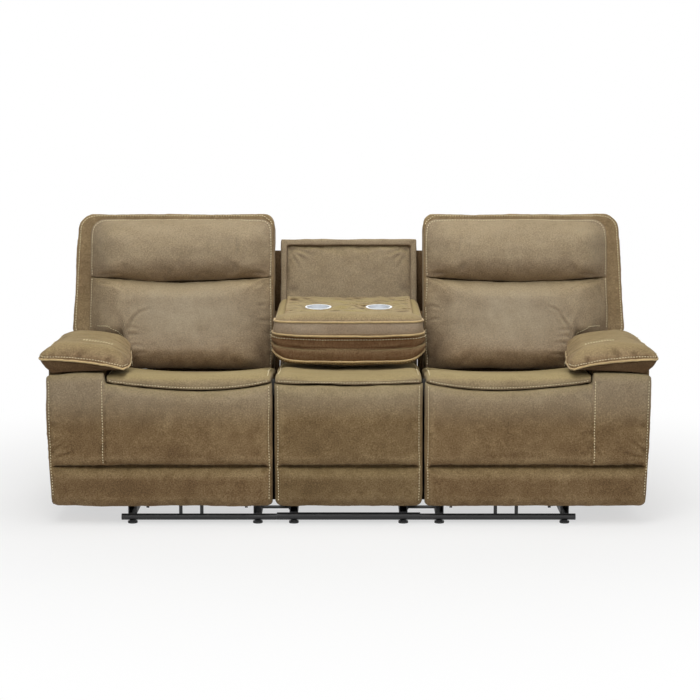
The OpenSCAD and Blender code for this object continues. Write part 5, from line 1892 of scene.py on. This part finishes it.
    def tray(self):
        """Board covered in slack cloth that wrinkles between the cup holders."""
        half = TRAY_HIGH[0] - 1
        outline = rectangle(-half, half, TRAY_FRONT + 1.5, TRAY_REAR - 1.5)
        board = prism(outline, TRAY_TOP - TRAY_THICK + 1, TRAY_TOP - 1, 2)
        points, faces = remesh(*board, 4.2, 4)
        points = on_table(points)
        normals = normals_of(points, faces)
        rng = np.random.default_rng(721)
        height = 1.8 * swell(points * (0.5, 1, 1), 42, 722) + 1.1 * swell(points, 20, 723)
        for _ in range(26):
            x = rng.uniform(-half + 30, half - 30)
            y = rng.uniform(-90, 220)
            turn = rng.uniform(-0.5, 0.5)
            reach = rng.uniform(25, 60)
            path = []
            for k in (-1, 0, 1):
                a, b = x + k * reach * math.cos(turn), y + k * reach * math.sin(turn)
                path.append((a, b + 4 * (k == 0), 712 + (b - 175) * 0.07))
            height += fold(points, path, 5.0, rng.uniform(4.0, 8.0))
        upward = ease((normals[:, 2] - 0.2) / 0.5)
        for k in (-0.5, 0.5):
            cup = on_table([(k * CUP_SPAN, -CUP_AHEAD, TRAY_TOP)])[0]
            beside = np.hypot(points[:, 0] - cup[0], points[:, 1] - cup[1]) - CUP_BORE
            upward = upward * ease((beside - 3) / 16)
        points = points + normals * (height * upward)[:, None]
        points, faces = carve(points, faces, cup_cutters(CUP_BORE, 60, 200))
        normals = corner_normals(points, faces)
        # Raised wrinkles are painted lighter and their hollows darker, over painted top light and
        # random patches
        wear_and_crease_shade = wear_and_crease_shade_of(points, faces, normals)
        flat = TABLE_PIVOT[2] + TRAY_TOP + (points[:, 1] - TABLE_PIVOT[1]) * math.tan(TABLE_SLOPE)
        lift = np.clip(points[:, 2] - flat, -5, 4)
        top_light_tint = 0.8 + 0.16 * lift + 0.1 * swell(points, 30, 724)
        parts = [(points, faces, "suede", top_light_tint, 4.5 * wear_and_crease_shade, 0.4 + 0.1 * lift)]
        join_frame(build("table_tray_cloth", parts), "table", "table_tray")


# Frame nodes that keep their CAD shape

class SOFA_OT_metalwork(bpy.types.Operator):
    """Finishes of the frame, the mechanism and the controls"""

    bl_idname = "sofa.metalwork"
    bl_label = "Metal, wood and plastic"

    PLAIN = {
        "plywood": ("arm_frame",),
        "lining": ("seat_frame", "legrest_board"),
        "plastic": ("switch_plate", "open_button", "close_button", "floor_glides", "power_inlet"),
        "satin": ("cup_holders",),
        "zinc": ("drive_block",),
    }

    def execute(self, context):
        make_materials(context.scene)
        for name, node in frame["nodes"].items():
            if node.hide_render:
                continue
            key = "steel"
            for choice, endings in self.PLAIN.items():
                if name.endswith(endings):
                    key = choice
            node.data.materials.clear()
            node.data.materials.append(MATERIALS[key])
        return {"FINISHED"}


# Stage

def seen_rays(tree):
    """1 for rays that show the background: to the camera, in metal and through glass."""
    rays = add(tree, "LightPath").node.outputs
    either = add(tree, "Math", (rays["Is Camera Ray"], rays["Is Glossy Ray"]),
                 operation="MAXIMUM")
    return add(tree, "Math", (either, rays["Is Transmission Ray"]), operation="MAXIMUM")


class SOFA_OT_stage(bpy.types.Operator):
    """Camera, soft lamps, pale floor and backdrop"""

    bl_idname = "sofa.stage"
    bl_label = "Camera and stage"

    def execute(self, context):
        scene = context.scene
        scene.view_settings.view_transform = "Standard"
        self.camera(scene)
        self.world(scene)
        self.lamps(scene)
        self.floor(scene)
        return {"FINISHED"}

    def camera(self, scene):
        """Camera of the photograph: 6.9 m away, 1.55 m up and tilted down by 8.3 degrees."""
        data = bpy.data.cameras.new("camera")
        data.sensor_width = 36
        data.lens = 97.5
        camera = bpy.data.objects.new("camera", data)
        camera.location = (0.005, -6.87, 1.55)
        camera.rotation_euler = (math.radians(90 - 8.31), 0, 0)
        scene.collection.objects.link(camera)
        scene.camera = camera

    def world(self, scene):
        """Even studio light, with a white background for what the camera sees."""
        world = bpy.data.worlds.new("studio")
        world.use_nodes = True
        tree = world.node_tree
        tree.nodes.clear()
        strength = add(tree, "MapRange", {
            "Value": seen_rays(tree), "To Min": 0.27, "To Max": 1.0})
        glow = add(tree, "Background", {"Color": (1, 1, 1, 1), "Strength": strength})
        add(tree, "OutputWorld", {"Surface": glow})
        scene.world = world

    def lamps(self, scene):
        """A broad lamp above the front and to the left, a softer one at the right, a broad one
        overhead and one behind.
        """
        for name, place, size, power in (
                ("key", (-0.9, -3.0, 3.9), 2.4, 80.0), ("fill", (2.4, -3.4, 2.6), 2.6, 24.0),
                ("top", (0.2, -0.6, 3.8), 3.0, 66.0), ("rear", (0.0, 3.2, 2.6), 2.4, 32.0)):
            data = bpy.data.lights.new(name, "AREA")
            data.shape = "DISK"
            data.size = size
            data.energy = power
            lamp = bpy.data.objects.new(name, data)
            lamp.location = place
            aim = Vector((0, 0, 0.5)) - Vector(place)
            lamp.rotation_euler = aim.to_track_quat("-Z", "Y").to_euler()
            scene.collection.objects.link(lamp)

    def floor(self, scene):
        """Pale floor that shows white to the camera and keeps the sofa's shadow."""
        made, tree, place = material("matt_painted_floor")
        reach = add(tree, "VectorMath", (place,), "Value", operation="LENGTH")
        fade = add(tree, "MapRange", {
            "Value": reach, "From Min": 0.9, "From Max": 2.4, "To Min": 0.62, "To Max": 1.0},
            interpolation_type="SMOOTHSTEP")
        paint = add(tree, "BsdfDiffuse", {"Color": opaque("#E4E4E2")})
        glow = add(tree, "Emission", {"Color": (1, 1, 1, 1), "Strength": 1.0})
        share = add(tree, "Math", (seen_rays(tree), fade), operation="MULTIPLY")
        mixed = add(tree, "MixShader", (share, paint, glow))
        add(tree, "OutputMaterial", {"Surface": mixed})
        mesh = bpy.data.meshes.new("floor")
        far = 30.0
        corners = [(x, y, 0) for x, y in rectangle(-far, far, -far, far)]
        mesh.from_pydata(corners, [], [(0, 1, 2, 3)])
        mesh.materials.append(made)
        floor = bpy.data.objects.new("floor", mesh)
        floor.location = (0, 0, -0.0005)
        scene.collection.objects.link(floor)


class SOFA_PT_pieces(bpy.types.Panel):
    """Lists the sofa's pieces in the 3D view's sidebar"""

    bl_idname = "SOFA_PT_pieces"
    bl_label = "Sofa"
    bl_space_type = "VIEW_3D"
    bl_region_type = "UI"
    bl_category = "Sofa"

    def draw(self, context):
        for operator in OPERATORS:
            self.layout.operator(operator.bl_idname)
        for settings in (context.scene.sofa_cloth, context.scene.sofa_sewing):
            for name in settings.bl_rna.properties.keys():
                if name not in ("rna_type", "name"):
                    self.layout.prop(settings, name)


OPERATORS = (
    SOFA_OT_stage, SOFA_OT_front_panels, SOFA_OT_seat_cushions, SOFA_OT_arm_pillows,
    SOFA_OT_arm_covers, SOFA_OT_back_cushions, SOFA_OT_back_covers, SOFA_OT_centre_back,
    SOFA_OT_table, SOFA_OT_metalwork,
)
CLASSES = (SofaCloth, SofaSewing, *OPERATORS, SOFA_PT_pieces)


def register():
    """Adds the classes and the scene's settings."""
    for made in CLASSES:
        bpy.utils.register_class(made)
    bpy.types.Scene.sofa_cloth = bpy.props.PointerProperty(type=SofaCloth)
    bpy.types.Scene.sofa_sewing = bpy.props.PointerProperty(type=SofaSewing)


def unregister():
    """Takes them away again."""
    del bpy.types.Scene.sofa_sewing
    del bpy.types.Scene.sofa_cloth
    for made in reversed(CLASSES):
        bpy.utils.unregister_class(made)


def main():
    """Makes the whole sofa."""
    register()
    for operator in OPERATORS:
        group, name = operator.bl_idname.split(".")
        getattr(getattr(bpy.ops, group), name)()


if __name__ == "__main__":
    main()
